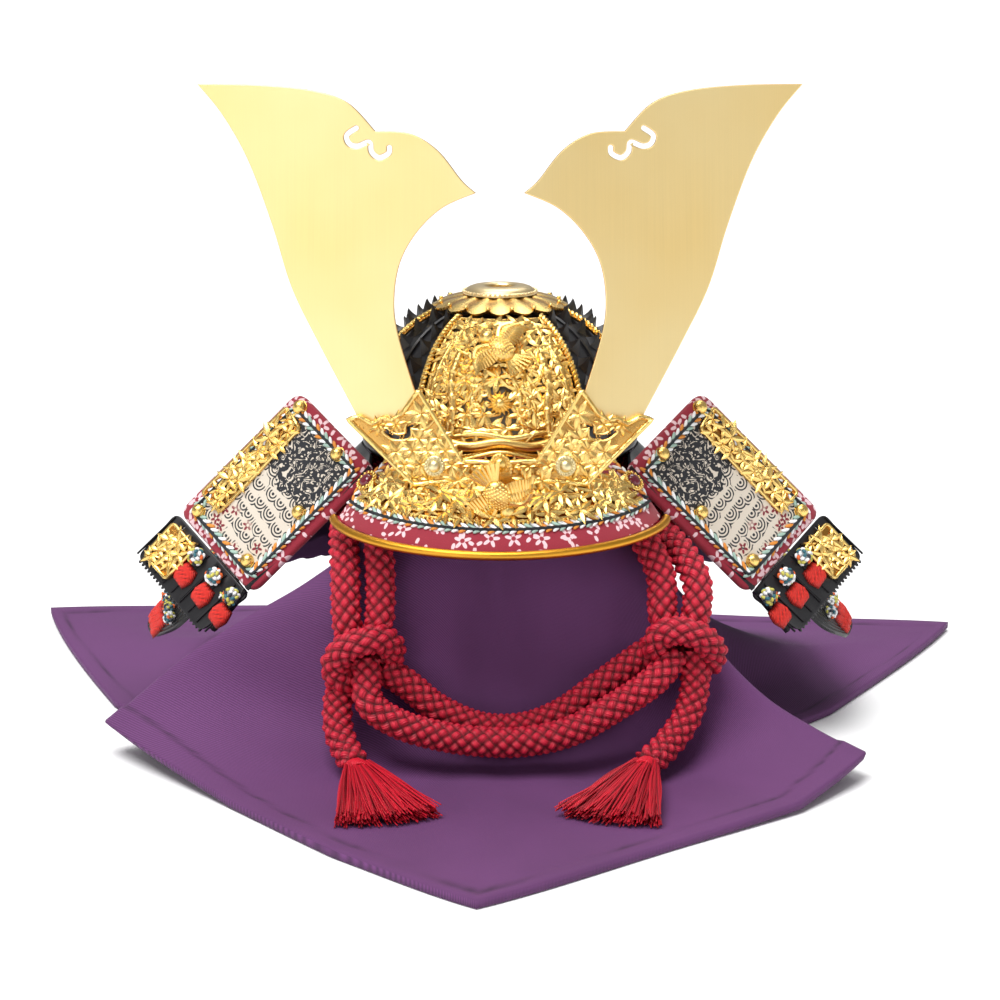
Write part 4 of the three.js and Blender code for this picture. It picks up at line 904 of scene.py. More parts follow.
def finish(key):
    """A finish by its key, made once."""
    if key not in _finishes:
        helmet, soft = choices("helmet_choices"), choices("soft_choices")
        makers = {
            "sheet": satin_gilt_sheet,
            "edge": gilt_edge,
            "cast": cast_gilt,
            # In each cast finish the first colour is the painted shade of low points and the second the
            # colour of crests.
            "silvered": lambda: cast_gilt("silvered brass", 0.3, linear("#9C8648"), linear("#EBDDAE")),
            "plain": lambda: cast_gilt("polished gilt brass", 0.2, linear("#C08A34"), linear("#F8D27A")),
            "pale": lambda: cast_gilt("pale satin gilt", 0.3, linear("#D9B878"), linear("#FBE3AE")),
            "rim": lambda: cast_gilt("satin gilt bar", 0.3, linear("#9A5F18"), linear("#E0A236")),
            "ground": lambda: cast_gilt(
                "silver leaf ground, dulled", 0.5, linear("#4E4538"), linear("#8E8270")
            ),
            "lacquer": black_lacquer,
            "leather": printed_leather,
            "panel": printed_panel,
            "lace": lambda: silk("lacing silk, vermilion", helmet.lace, threads=0.5),
            "white": lambda: silk("braid silk, white", linear("#F1F3F4")),
            "sage": lambda: silk("braid silk, sage", linear("#9DB9AC")),
            "orange": lambda: silk("braid silk, orange", linear("#DB8A33")),
            "ink": lambda: silk("braid silk, dark", linear("#2C3540")),
            "teal": lambda: silk("knot silk, teal", linear("#2F6673")),
            "lime": lambda: silk("knot silk, yellow green", linear("#C9C25A")),
            "flame": lambda: silk("knot silk, flame", linear("#E4672A")),
            "cord": lambda: silk("cord silk, crimson", soft.cord, threads=0.55),
            "tassel": lambda: silk("tassel thread, crimson", soft.tassel, threads=0.6, roughness=0.45),
            "twill": purple_twill,
            "garnet": garnet_glass,
            "wood": pale_wood,
            "paper": white_paper,
        }
        _finishes[key] = makers[key]()
    return _finishes[key]


def finishes(*keys):
    return [finish(key) for key in keys]


# Cord, knots and tassels

CORD_DIAMETER = 9.6
KNOT_DIAMETER = 9.2
CORD_ROUTES = {
    "cord_outer": (
        (-49, -61, 42), (-50.5, -59, 54), (-51, -53, 66), (-52, -40, 75), (-52, -20, 79), (-54, 8, 80),
        (-42, 36, 79), (0, 53, 80), (42, 36, 79), (54, 8, 80), (53, -14, 77), (55, -30, 75), (61.5, -45, 70),
        (65, -54, 63), (64, -59, 52), (62, -59, 45),
    ),
    "cord_inner": (
        (-41, -61, 45), (-39.5, -59, 54), (-39.5, -53, 68), (-41, -43, 80), (-44, -25, 87), (-47, 4, 88),
        (-33, 35, 89), (0, 50, 89.5), (33, 35, 89), (47, 4, 88), (44, -24, 86), (47, -42, 78), (53, -53, 66),
        (53.5, -59, 54), (56, -59, 46),
    ),
    "cord_swag_front": (
        (-44, -63, 39), (-42.5, -70, 27), (-34, -72, 21), (-20, -72, 16.5), (-6, -72, 14.5), (8, -72, 14.5),
        (23, -72, 18), (38, -70, 26), (50, -67, 33.5), (58, -61, 41),
    ),
    "cord_swag_back": (
        (-39, -60, 36), (-31, -60, 31), (-21, -61, 23), (-6, -61.5, 16.5), (8, -61.5, 16.5), (20, -61, 21),
        (33, -59.5, 30), (46, -57, 39), (56, -58, 46),
    ),
    "cord_tail_left": ((-50, -61, 39), (-53, -63, 28), (-53, -69, 18), (-50, -75, 12), (-47, -80, 9)),
    "cord_tail_right": ((64, -60, 42), (64, -63, 30), (61, -67, 21), (54, -73, 13), (48, -80, 9.5)),
}
# Each knot is one turn of cord round the strands: its middle, then places across, in and up from there.
KNOTS = {
    "left": (
        (-45, -61, 41),
        (
            (-7, -2, -9), (-9, -5, -2), (-5.5, -7.5, 4), (0.5, -8, 6.5), (6.5, -5, 6.5), (9.5, 0, 2),
            (7, 4.5, -3), (0, 5.5, -4), (-4, 4, -8),
        ),
    ),
    "right": (
        (60, -59, 45),
        (
            (-9, -3, -1), (-6.5, -6.5, 4.5), (0, -8, 5.5), (6.5, -6.5, 2.5), (10, -2, -3), (8.5, 2.5, -8),
            (2, 5.5, -4), (-5, 4, -4),
        ),
    ),
}
TASSELS = {"left": ((-46.5, -83.2, 7.8), -17), "right": ((47.4, -82.8, 8.4), 20)}
TASSEL_LENGTH = 43
TASSEL_SPREAD = 38
TASSEL_NECK = 7.4
THREAD_RADIUS = 0.25
STITCHES_ROUND = 6
STITCH_LENGTH = 2.25
BRAID_STEP = 0.56


def braided(shape, path, diameter, closed=False, sides=56):
    """A round braid: plump stitches in slanting rows, each shaded by how far it stands up."""
    path = np.asarray(path, float)
    side, over = carried(path, closed)
    turn = np.arange(sides) / sides * 2 * math.pi
    along = distances(path)
    a = STITCHES_ROUND * turn[None, :] / (2 * math.pi) + along[:, None] / (2 * STITCH_LENGTH)
    b = STITCHES_ROUND * turn[None, :] / (2 * math.pi) - along[:, None] / (2 * STITCH_LENGTH)
    over_a = (np.floor(a) + np.floor(b)) % 2 == 0
    wave_a = np.sin(math.pi * (a - np.floor(a)))
    wave_b = np.sin(math.pi * (b - np.floor(b)))
    height = np.where(over_a, wave_a**0.85 * wave_b**0.4, wave_b**0.85 * wave_a**0.4)
    bump = choices("soft_choices").bump / MM
    radius = diameter / 2 - bump * 0.72 + bump * height
    ring = np.cos(turn)[None, :, None] * side[:, None] + np.sin(turn)[None, :, None] * over[:, None]
    points = path[:, None] + radius[..., None] * ring
    faces = tube_faces(len(path), sides, closed)
    slant = np.where(over_a, a * 4.0, b * 4.0)
    places = np.stack([slant, np.broadcast_to(along[:, None] * 0.02, slant.shape)], axis=-1)
    shape.add(points, faces, 0, places, 0.05 + 0.95 * height)


class HELMET_OT_cords(bpy.types.Operator):
    """Makes the braided chin cord: two strands round the head, two swags and two tails"""

    bl_idname = "helmet.cords"
    bl_label = "Cords"

    def execute(self, context):
        ends = [bpy.data.objects[f"silk_{kind}_{side}"] for kind in ("knot", "tassel") for side in KNOTS]
        made = {}
        for name, route in CORD_ROUTES.items():
            shape = Shape()
            path = even(centripetal(route, np.linspace(0, 1, 40 * len(route))), BRAID_STEP)
            braided(shape, path, CORD_DIAMETER)
            piece = shape.make(f"braided_{name}", finishes("cord"), "crimson_cord", [name], angle=180)
            made[name] = piece, path
        # The tails are shorter than a cord of its own can be, so they go with the outer strand.
        ends += [piece for name, (piece, _) in made.items() if "tail" in name]
        for name, (piece, path) in made.items():
            if "tail" in name:
                continue
        return {"FINISHED"}


class HELMET_OT_knots(bpy.types.Operator):
    """Makes the two knots of the chin cord, each one turn of cord round the strands"""

    bl_idname = "helmet.knots"
    bl_label = "Knots"

    def execute(self, context):
        for side, (centre, turn) in KNOTS.items():
            path = centripetal(np.array(turn) + centre, np.linspace(0, 1, 300), True)
            loop = even(path, BRAID_STEP)[:-1]
            shape = Shape()
            braided(shape, loop, KNOT_DIAMETER, closed=True)
            shape.make(f"silk_knot_{side}", finishes("cord"), "crimson_cord", [f"knot_{side}"], angle=180)
        return {"FINISHED"}


class HELMET_OT_tassels(bpy.types.Operator):
    """Makes the two tassels: a bound head and a fan of single threads lying on the cloth"""

    bl_idname = "helmet.tassels"
    bl_label = "Tassels"

    def execute(self, context):
        dice = random.Random(11)
        for side, (tip, lean) in TASSELS.items():
            tip = np.array(tip, float)
            shape = Shape()
            ahead = np.array((math.sin(lean * DEG) * -1, -math.cos(lean * DEG), 0))
            coil = []
            for k in range(6 * 14 + 1):
                t = k / 14
                radius = 4.0 - 0.03 * (t - 3) ** 2
                coil.append(
                    (radius * math.cos(t * 2 * math.pi), radius * math.sin(t * 2 * math.pi), 0.2 + t * 0.85)
                )
            axis = np.eye(4)
            axis[:3, 0], axis[:3, 1], axis[:3, 2] = np.cross((0, 0, 1), ahead), (0, 0, 1), ahead
            axis[:3, 3] = tip - ahead * 1.5
            tube(shape, placed(axis, coil), 0.6, 6, 0, rises=0.8)
            ball(shape, moved(axis, z=2.6), (3.9, 3.9, 4.6), 0, 20, 12, 0.5)
            for k in range(choices("soft_choices").threads):
                share = dice.uniform(-0.5, 0.5)
                angle = (lean + TASSEL_SPREAD * share) * DEG
                depth = dice.uniform(-1, 1)
                way = np.array((-math.sin(angle), -math.cos(angle), 0))
                length = TASSEL_LENGTH * dice.uniform(0.86, 1.0) * (1 - 0.06 * abs(share))
                wobble = dice.uniform(-1, 1)
                points = []
                for t in np.linspace(0, 1, 9):
                    fan = t**0.85
                    start = tip - axis[:3, 0] * share * TASSEL_NECK + np.array((0, 0, depth * 3.6 * (1 - t)))
                    place = start + way * (length * fan + 1.0)
                    place[2] += (
                        (4.6 + depth * 2.2 - tip[2]) * t**1.25 + 0.5 * wobble * math.sin(t * 5 + wobble * 3)
                    )
                    place += axis[:3, 0] * 0.8 * wobble * math.sin(t * 4)
                    points.append(place)
                tube(shape, points, THREAD_RADIUS, 4, 0, rises=dice.uniform(0.3, 1.0))
            shape.make(
                f"silk_tassel_{side}", finishes("tassel"), "crimson_cord", [f"tassel_{side}"], angle=70
            )
        return {"FINISHED"}


# Cloth and stand

# Turn at the head and the hem, then distance out and height at five places down each fold,
# as shares of the cloth's reach and of the height of its top: the folds of the solid.
CLOTH_FOLDS = (
    (0, 2, 0.214, 0.42, 0.25, 0.17, 0.3, 0.045, 0.62, 0.014, 1, 0.014),
    (18, 19, 0.252, 0.42, 0.28, 0.17, 0.33, 0.045, 0.56, 0.014, 0.803, 0.014),
    (36, 40.7, 0.306, 0.42, 0.34, 0.21, 0.39, 0.07, 0.53, 0.026, 0.673, 0.016),
    (47, 75, 0.383, 0.42, 0.497, 0.325, 0.577, 0.24, 0.653, 0.145, 0.708, 0.075),
    (58, 84, 0.3, 0.4, 0.35, 0.2, 0.405, 0.07, 0.455, 0.022, 0.5, 0.014),
    (77, 97, 0.247, 0.42, 0.306, 0.21, 0.408, 0.06, 0.55, 0.022, 0.7, 0.014),
    (104, 131, 0.28, 0.42, 0.45, 0.2, 0.7, 0.07, 0.947, 0.03, 1.207, 0.018),
    (140, 148, 0.306, 0.42, 0.467, 0.2, 0.648, 0.08, 0.82, 0.03, 0.963, 0.016),
    (180, 180, 0.306, 0.42, 0.434, 0.2, 0.57, 0.08, 0.714, 0.026, 0.827, 0.014),
    (-140, -145, 0.296, 0.42, 0.439, 0.2, 0.602, 0.08, 0.755, 0.03, 0.886, 0.016),
    (-104, -127, 0.276, 0.42, 0.43, 0.2, 0.663, 0.07, 0.893, 0.03, 1.117, 0.018),
    (-77, -95, 0.247, 0.42, 0.296, 0.21, 0.378, 0.06, 0.485, 0.022, 0.6, 0.014),
    (-58, -76, 0.286, 0.4, 0.33, 0.2, 0.38, 0.07, 0.43, 0.022, 0.485, 0.014),
    (-48, -61, 0.357, 0.42, 0.434, 0.285, 0.53, 0.17, 0.62, 0.105, 0.704, 0.06),
    (-34, -42.7, 0.3, 0.42, 0.34, 0.2, 0.39, 0.06, 0.54, 0.026, 0.722, 0.022),
    (-17, -22, 0.25, 0.42, 0.28, 0.17, 0.33, 0.045, 0.55, 0.014, 0.765, 0.014),
)
FOLD_LEVELS = (0.35, 0.6, 0.8, 0.92, 1)
CLOTH_ROWS = 140
CLOTH_COLUMNS = 280


def head_drop(radius):
    return radius * radius / 96


def fold_line(row):
    head, hem = row[:2]

    def turned(turn, radius, z):
        return (-radius * math.sin(turn * DEG), -radius * math.cos(turn * DEG), z)

    crown = 24 + CLOTH_THICKNESS + 3 * GAP
    points = [(0, 0, CLOTH_TOP)]
    points += [turned(head, crown * share, CLOTH_TOP - head_drop(crown * share)) for share in (0.55, 1)]
    points += [turned(head, 35, CLOTH_TOP - head_drop(35) * 2), turned(head, 38, 91)]
    for share, (out, up) in zip(FOLD_LEVELS, zip(row[2::2], row[3::2])):
        points.append(turned(head + (hem - head) * share, out * CLOTH_REACH, up * CLOTH_TOP))
    return points


def cloth_grid():
    shares = np.linspace(0, 1, CLOTH_ROWS)
    lines = np.array([centripetal(fold_line(row), shares) for row in CLOTH_FOLDS])
    around = np.arange(CLOTH_COLUMNS) / CLOTH_COLUMNS
    place = around * len(lines)
    low, part = place.astype(int), (place % 1)[:, None]
    grid = np.empty((CLOTH_ROWS, CLOTH_COLUMNS, 3))
    for r, share in enumerate(shares):
        if r == 0:
            grid[r] = lines[0, 0]
            continue
        soft = centripetal(lines[:, r], around, True)
        crisp = lines[low, r] * (1 - part) + lines[(low + 1) % len(lines), r] * part
        # Woven cloth is straight along its edge and sharp at its corners.
        stiff = np.clip((share - 0.6) / 0.38, 0, 1) * 0.8
        grid[r] = soft * (1 - stiff) + crisp * stiff
    grid[..., 2] = np.maximum(grid[..., 2], CLOTH_THICKNESS + GAP)
    return grid


def grid_normals(grid, closed=True):
    across = np.roll(grid, -1, axis=1) - np.roll(grid, 1, axis=1)
    if not closed:
        across = np.gradient(grid, axis=1)
    normal = np.cross(across, np.gradient(grid, axis=0))
    size = np.linalg.norm(normal, axis=2, keepdims=True)
    normal = np.where(size > 1e-9, normal / np.maximum(size, 1e-9), (0, 0, 1))
    return normal


class HELMET_OT_cloth(bpy.types.Operator):
    """Drapes the square twill cloth over the stand, with its stitched hem"""

    bl_idname = "helmet.cloth"
    bl_label = "Cloth"

    def execute(self, context):
        grid = cloth_grid()
        normal = grid_normals(grid)
        normal[normal[..., 2] < -0.2] *= -1
        rows, columns = grid.shape[:2]
        run = np.zeros((rows, columns))
        run[1:] = np.cumsum(np.linalg.norm(np.diff(grid, axis=0), axis=2), axis=0)
        left = run[-1] - run
        hem = choices("soft_choices").hem / MM
        # The hem is a second layer; the stitched valley at its inner side is not modelled, only painted as
        # dashed shade.
        raised = 0.7 * np.clip((hem - left) / 0.8, 0, 1)
        seam_shade = np.exp(-(((left - hem - 0.4) / 0.7) ** 2)) * (0.75 + 0.25 * np.sin(np.arange(columns) * 2.1))
        turn = np.arange(columns) / columns * 2 * math.pi
        shade = np.clip((run - 60) / 60, 0, 1)
        ripples = 0.35 * np.sin(run / 9.0 + 3 * np.sin(turn * 3)[None]) * np.sin(turn * 11)[None] * shade
        ripples *= np.clip(left / 30, 0, 1)
        top = grid + normal * (raised + ripples)[..., None]
        top[..., 2] = np.maximum(top[..., 2], CLOTH_THICKNESS + GAP + raised)
        under = grid - normal * CLOTH_THICKNESS
        under[..., 2] = np.maximum(under[..., 2], 0.05)
        flat = np.stack([-run * np.sin(turn)[None], -run * np.cos(turn)[None]], axis=-1)
        count = rows * columns
        faces = grid_faces(rows, columns, True)[columns:]
        outer = [[0, columns + (c + 1) % columns, columns + c] for c in range(columns)]
        both = outer + faces
        both += [[i + count for i in face[::-1]] for face in outer + faces]
        last = (rows - 1) * columns
        both += [
            [last + c, last + (c + 1) % columns, count + last + (c + 1) % columns, count + last + c]
            for c in range(columns)
        ]
        shape = Shape()
        points = np.vstack([top.reshape(-1, 3), under.reshape(-1, 3)])
        places = np.vstack([flat.reshape(-1, 2)] * 2)
        used = sorted({i for face in both for i in face})
        order = {old: new for new, old in enumerate(used)}
        # Painted shade of the stitched valley, in dashes like stitches; the underside is drawn at 0.8.
        rises = np.concatenate([(1 - 0.6 * seam_shade).ravel(), np.full(count, 0.8)])
        shape.add(points[used], [[order[i] for i in face] for face in both], 0, places[used], rises[used])
        piece = shape.make("purple_cloth", finishes("twill"), "purple_cloth", ["stand_cloth"], angle=180)
        return {"FINISHED"}


class HELMET_OT_stand(bpy.types.Operator):
    """Gives the turned stand its wood"""

    bl_idname = "helmet.stand"
    bl_label = "Stand"

    def execute(self, context):
        post = frame["nodes"]["stand_post"]
        post.data.materials.clear()
        post.data.materials.append(finish("wood"))
        return {"FINISHED"}


# Bowl


class HELMET_OT_bowl(bpy.types.Operator):
    """Makes the lacquered bowl with its ribs and rows of thorn studs"""

    bl_idname = "helmet.bowl"
    bl_label = "Bowl"

    def execute(self, context):
        shape = Shape()
        rows, columns = 22, 80
        climbs = np.linspace(0, 0.995, rows)
        outer = np.array([[bowl_point(c / columns * 360, k, 0) for c in range(columns)] for k in climbs])
        inner = np.array(
            [[bowl_point(c / columns * 360, k, -BOWL_WALL) for c in range(columns)] for k in climbs]
        )
        count = rows * columns
        faces = grid_faces(rows, columns, True)
        faces += [[i + count for i in face[::-1]] for face in faces]
        faces += [[c, count + c, count + (c + 1) % columns, (c + 1) % columns] for c in range(columns)]
        last = (rows - 1) * columns
        faces += [[last + c for c in range(columns)], [count + last + c for c in range(columns)][::-1]]
        shape.add(np.vstack([outer.reshape(-1, 3), inner.reshape(-1, 3)]), faces)
        height = choices("helmet_choices").stud_height / MM
        for k in range(20):
            angle, place = k * RIB_STEP, min(k, 20 - k)
            if place * RIB_STEP > PLATE_ANGLE + 4 and place not in (2, 4, 7):
                path = [bowl_point(angle, climb, 0.25) for climb in np.linspace(0.04, 0.8, 16)]
                tube(shape, path, 0.75, 6)
            between = angle + RIB_STEP / 2
            if min(between, 360 - between) > PLATE_ANGLE + RIB_STEP / 2:
                for climb in (0.1, 0.2, 0.3, 0.4, 0.5, 0.6, 0.7):
                    self.thorn(shape, between, climb, height)
        rim = [bowl_point(c / 96 * 360, 0.012, 0.3) for c in range(96)]
        tube(shape, rim, 0.9, 8, closed=True)
        shape.make("lacquered_bowl", finishes("lacquer"), "black_lacquer", ["bowl"], angle=35)
        return {"FINISHED"}

    def thorn(self, shape, angle, climb, height):
        """A four-sided thorn with hollow flanks, leaning up the bowl."""
        base = bowl_frame(angle, climb, -0.2)
        half_up, half_side = 3.3, 2.7 * max(0.55, math.cos(climb * math.pi / 2) ** 0.8)
        points = []
        for share, level in ((1, 0), (0.62, 0.3), (0.34, 0.62), (0.12, 0.9)):
            lean = 1.3 * level**2
            points += [
                (half_side * share, lean, level * height), (0, half_up * share + lean, level * height),
                (-half_side * share, lean, level * height), (0, -half_up * share + lean, level * height),
            ]
        points.append((0, 1.5, height))
        faces = [[3, 2, 1, 0]]
        for r in range(3):
            faces += [
                [4 * r + k, 4 * r + (k + 1) % 4, 4 * r + 4 + (k + 1) % 4, 4 * r + 4 + k] for k in range(4)
            ]
        faces += [[12 + k, 12 + (k + 1) % 4, 16] for k in range(4)]
        shape.add(placed(base, points), faces)


class HELMET_OT_strips(bpy.types.Operator):
    """Makes the six gilt strips that run up the bowl, each of two twisted wires over a flat band"""

    bl_idname = "helmet.strips"
    bl_label = "Gilt strips"

    def execute(self, context):
        end = climb_at_radius(FINIAL_RADIUS)
        count = 0
        for place in (2, 4, 7):
            for side in (-1, 1):
                count += 1
                angle = side * place * RIB_STEP
                path = even(
                    [bowl_point(angle, climb, 1.7) for climb in np.linspace(0.08 * end, end, 60)], 0.35
                )
                across, over = carried(path)
                turn = np.arange(len(path)) * 0.35 / 3.2 * 2 * math.pi
                shape = Shape()
                for phase in (0, math.pi):
                    wire = path + 0.62 * (
                        np.cos(turn + phase)[:, None] * across + np.sin(turn + phase)[:, None] * over
                    )
                    tube(shape, wire, 0.62, 6, rises=0.85)
                # The flat band's low rise gives it painted shade under the wires.
                base = [bowl_point(angle, climb, 1.0) for climb in np.linspace(0.07 * end, end, 24)]
                tube(shape, base, 1.5, 8, flat=0.45, rises=0.2)
                name = f"gold_strip_{count}"
                shape.make(f"twisted_{name}", finishes("cast"), "gilt_brass", [name], angle=50)
        return {"FINISHED"}


class HELMET_OT_finial(bpy.types.Operator):
    """Makes the petalled plate and the domed ring at the crown"""

    bl_idname = "helmet.finial"
    bl_label = "Finial"

    def execute(self, context):
        shape = Shape()
        petals = 16
        columns, rows = petals * 12, 14
        low, high = [], []
        levels = []
        for r in range(rows):
            share = r / (rows - 1)
            for c in range(columns):
                wave = math.cos(c / columns * petals * 2 * math.pi)
                lobe = 1 + 0.06 * (abs(math.cos(c / columns * petals * math.pi)) - 0.5) * share**3 * 2
                radius = max(FINIAL_RADIUS * 0.93 * share * lobe, 0.2)
                turn = c / columns * 360
                edge = max(0, 1 - (1 - share) * 7)
                swell = 0.55 * (0.5 + 0.5 * wave) * math.sin(math.pi * min(share * 1.15, 1)) * (share > 0.35)
                low.append(bowl_point(turn, climb_at_radius(radius), 1.8))
                high.append(bowl_point(turn, climb_at_radius(radius), 2.7 + swell + 0.45 * (1 - edge)))
                # Levels give the petals' crests full gilt and the dips between them painted shade; the
                # underside takes 0.2.
                levels.append(0.3 + 0.7 * (0.5 + 0.5 * wave) if share > 0.35 else 0.8)
        count = rows * columns
        faces = grid_faces(rows, columns, True)
        faces += [[i + count for i in face[::-1]] for face in faces]
        last = (rows - 1) * columns
        faces += [
            [last + c, last + (c + 1) % columns, count + last + (c + 1) % columns, count + last + c]
            for c in range(columns)
        ]
        faces += [list(range(columns))[::-1], [count + c for c in range(columns)]]
        shape.add(np.array(high + low), faces, rises=levels + [0.2] * count)
        for k in range(petals):
            turn = (k + 0.5) / petals * 360
            ball(shape, bowl_frame(turn, climb_at_radius(19.2), 3.2), (0.8, 0.8, 0.7), across=8, down=6)
        shape.make("petalled_plate", finishes("cast"), "gilt_brass", ["finial_base"], angle=45)

        ring = Shape()
        seat = bowl_point(0, climb_at_radius(9), 3.5)[2]
        base = np.eye(4)
        base[2, 3] = seat
        profile = (
            (5, 1.9), (5, 0.9), (11.5, 0), (12.6, 0), (12.6, 0.6), (12.2, 1.0), (11.6, 1.1), (11.4, 1.3),
            (10.7, 2.0), (9.3, 2.5), (7.6, 2.75), (6.1, 2.75), (5.3, 2.45), (5, 1.9),
        )
        lathe(ring, base, profile, 72, rises=[0.4, 0.2, 0.2, 0.4, 0.8, 0.9, 0.5, 0.5, 0.9, 1, 1, 1, 0.8, 0.4])
        beads = 48
        for k in range(beads):
            turn = k / beads * 2 * math.pi
            spot = np.eye(4)
            spot[:3, 3] = (12.35 * math.cos(turn), 12.35 * math.sin(turn), seat + 0.75)
            ball(ring, spot, (0.5, 0.5, 0.5), across=6, down=5)
        ring.make("stepped_ring", finishes("pale"), "gilt_brass", ["finial_ring"], angle=45)
        return {"FINISHED"}


# Front plate


def bird(shape, base, size, slot=0):
    """A sparrow in flight seen from above, on the frame's plane: head towards y, wings spread along x."""
    ball(shape, moved(base, z=0.25 * size), (0.56 * size, 0.74 * size, 0.45 * size), slot, 16, 12, 0.7)
    ball(
        shape, moved(base, y=0.8 * size, z=0.42 * size), (0.35 * size, 0.36 * size, 0.33 * size), slot, 12, 8,
        0.85,
    )
    leaf(shape, moved(base, y=1.08 * size, z=0.4 * size, turn=80), 0.36 * size, 0.2 * size, 0.2 * size, slot)
    for side in (-1, 1):
        ball(
            shape, moved(base, x=side * 0.15 * size, y=0.92 * size, z=0.66 * size), (0.06 * size,) * 3, slot,
            6, 5, 0.0,
        )
        arm = [
            (side * (0.3 + 1.05 * t) * size, (0.4 + 0.3 * math.sin(math.pi * t)) * size, 0.5 * size)
            for t in np.linspace(0, 1, 9)
        ]
        tube(shape, placed(base, arm), 0.12 * size, 6, slot, rises=0.95)
        for reach, lift, thick, count in ((0.95, 0.3, 0.085, 11), (0.5, 0.44, 0.075, 10)):
            for k in range(count):
                t = k / (count - 1)
                x, y = side * (0.34 + 1.02 * t) * size, (0.38 + 0.28 * math.sin(math.pi * t)) * size
                way = (-90 + side * (4 + 30 * t)) * DEG
                length = size * reach * (0.72 + 0.28 * math.sin(math.pi * min(t * 1.2, 1)))
                bar = [
                    (x + f * length * math.cos(way), y + f * length * math.sin(way), (lift + rise) * size)
                    for f, rise in ((0, 0), (0.6, 0.08), (1, -0.08))
                ]
                tube(
                    shape, placed(base, bar), thick * size, 6, slot, rises=[0.95] * 6 + [0.85] * 6 + [0.5] * 6
                )
    for k in range(7):
        way = (-90 + (k - 3) * 9) * DEG
        bar = [
            (0.05 * (k - 3) * size, -0.5 * size, 0.2 * size),
            (1.5 * size * math.cos(way), 1.5 * size * math.sin(way), 0.1 * size),
        ]
        tube(shape, placed(base, bar), 0.09 * size, 6, slot, rises=0.85)
    for row in range(9):
        for k in range(-4, 5):
            x, y = (k + 0.5 * (row % 2)) * 0.125 * size, (0.6 - row * 0.145) * size
            level = 1 - (x / (0.56 * size)) ** 2 - (y / (0.74 * size)) ** 2
            if level > 0.05:
                spot = moved(base, x=x, y=y, z=(0.25 + 0.45 * math.sqrt(level)) * size)
                ball(shape, spot, (0.06 * size, 0.075 * size, 0.05 * size), slot, 5, 4, 1.0)


def cane(shape, frame_at, places, radius=0.95, slot=0):
    """A bamboo cane through a list of places on a surface, with swollen joints."""
    path = np.array([placed(frame_at(*place), [(0, 0, radius * 0.6)])[0] for place in places])
    path = even(centripetal(path, np.linspace(0, 1, 40)), 0.5)
    along = np.arange(len(path)) * 0.5
    swell = 1 + 0.28 * np.exp(-(((along % 4.2) - 2.1) / 0.45) ** 2)
    tube(shape, path, radius * swell, 8, slot, rises=0.45 + 0.5 * (np.repeat(swell, 8) - 1) / 0.28 + 0.1)


def curl(shape, base, size, turns=1.3, hand=1, radius=0.55, slot=0):
    """A raised scroll on the frame's plane."""
    points = []
    for k in range(26):
        t = k / 25
        angle = hand * t * turns * 2 * math.pi
        reach = size * (1 - 0.8 * t)
        points.append((reach * math.cos(angle), reach * math.sin(angle), 0.45))
    tube(shape, placed(base, points), np.linspace(radius, radius * 0.8, 26), 6, slot, rises=0.9)


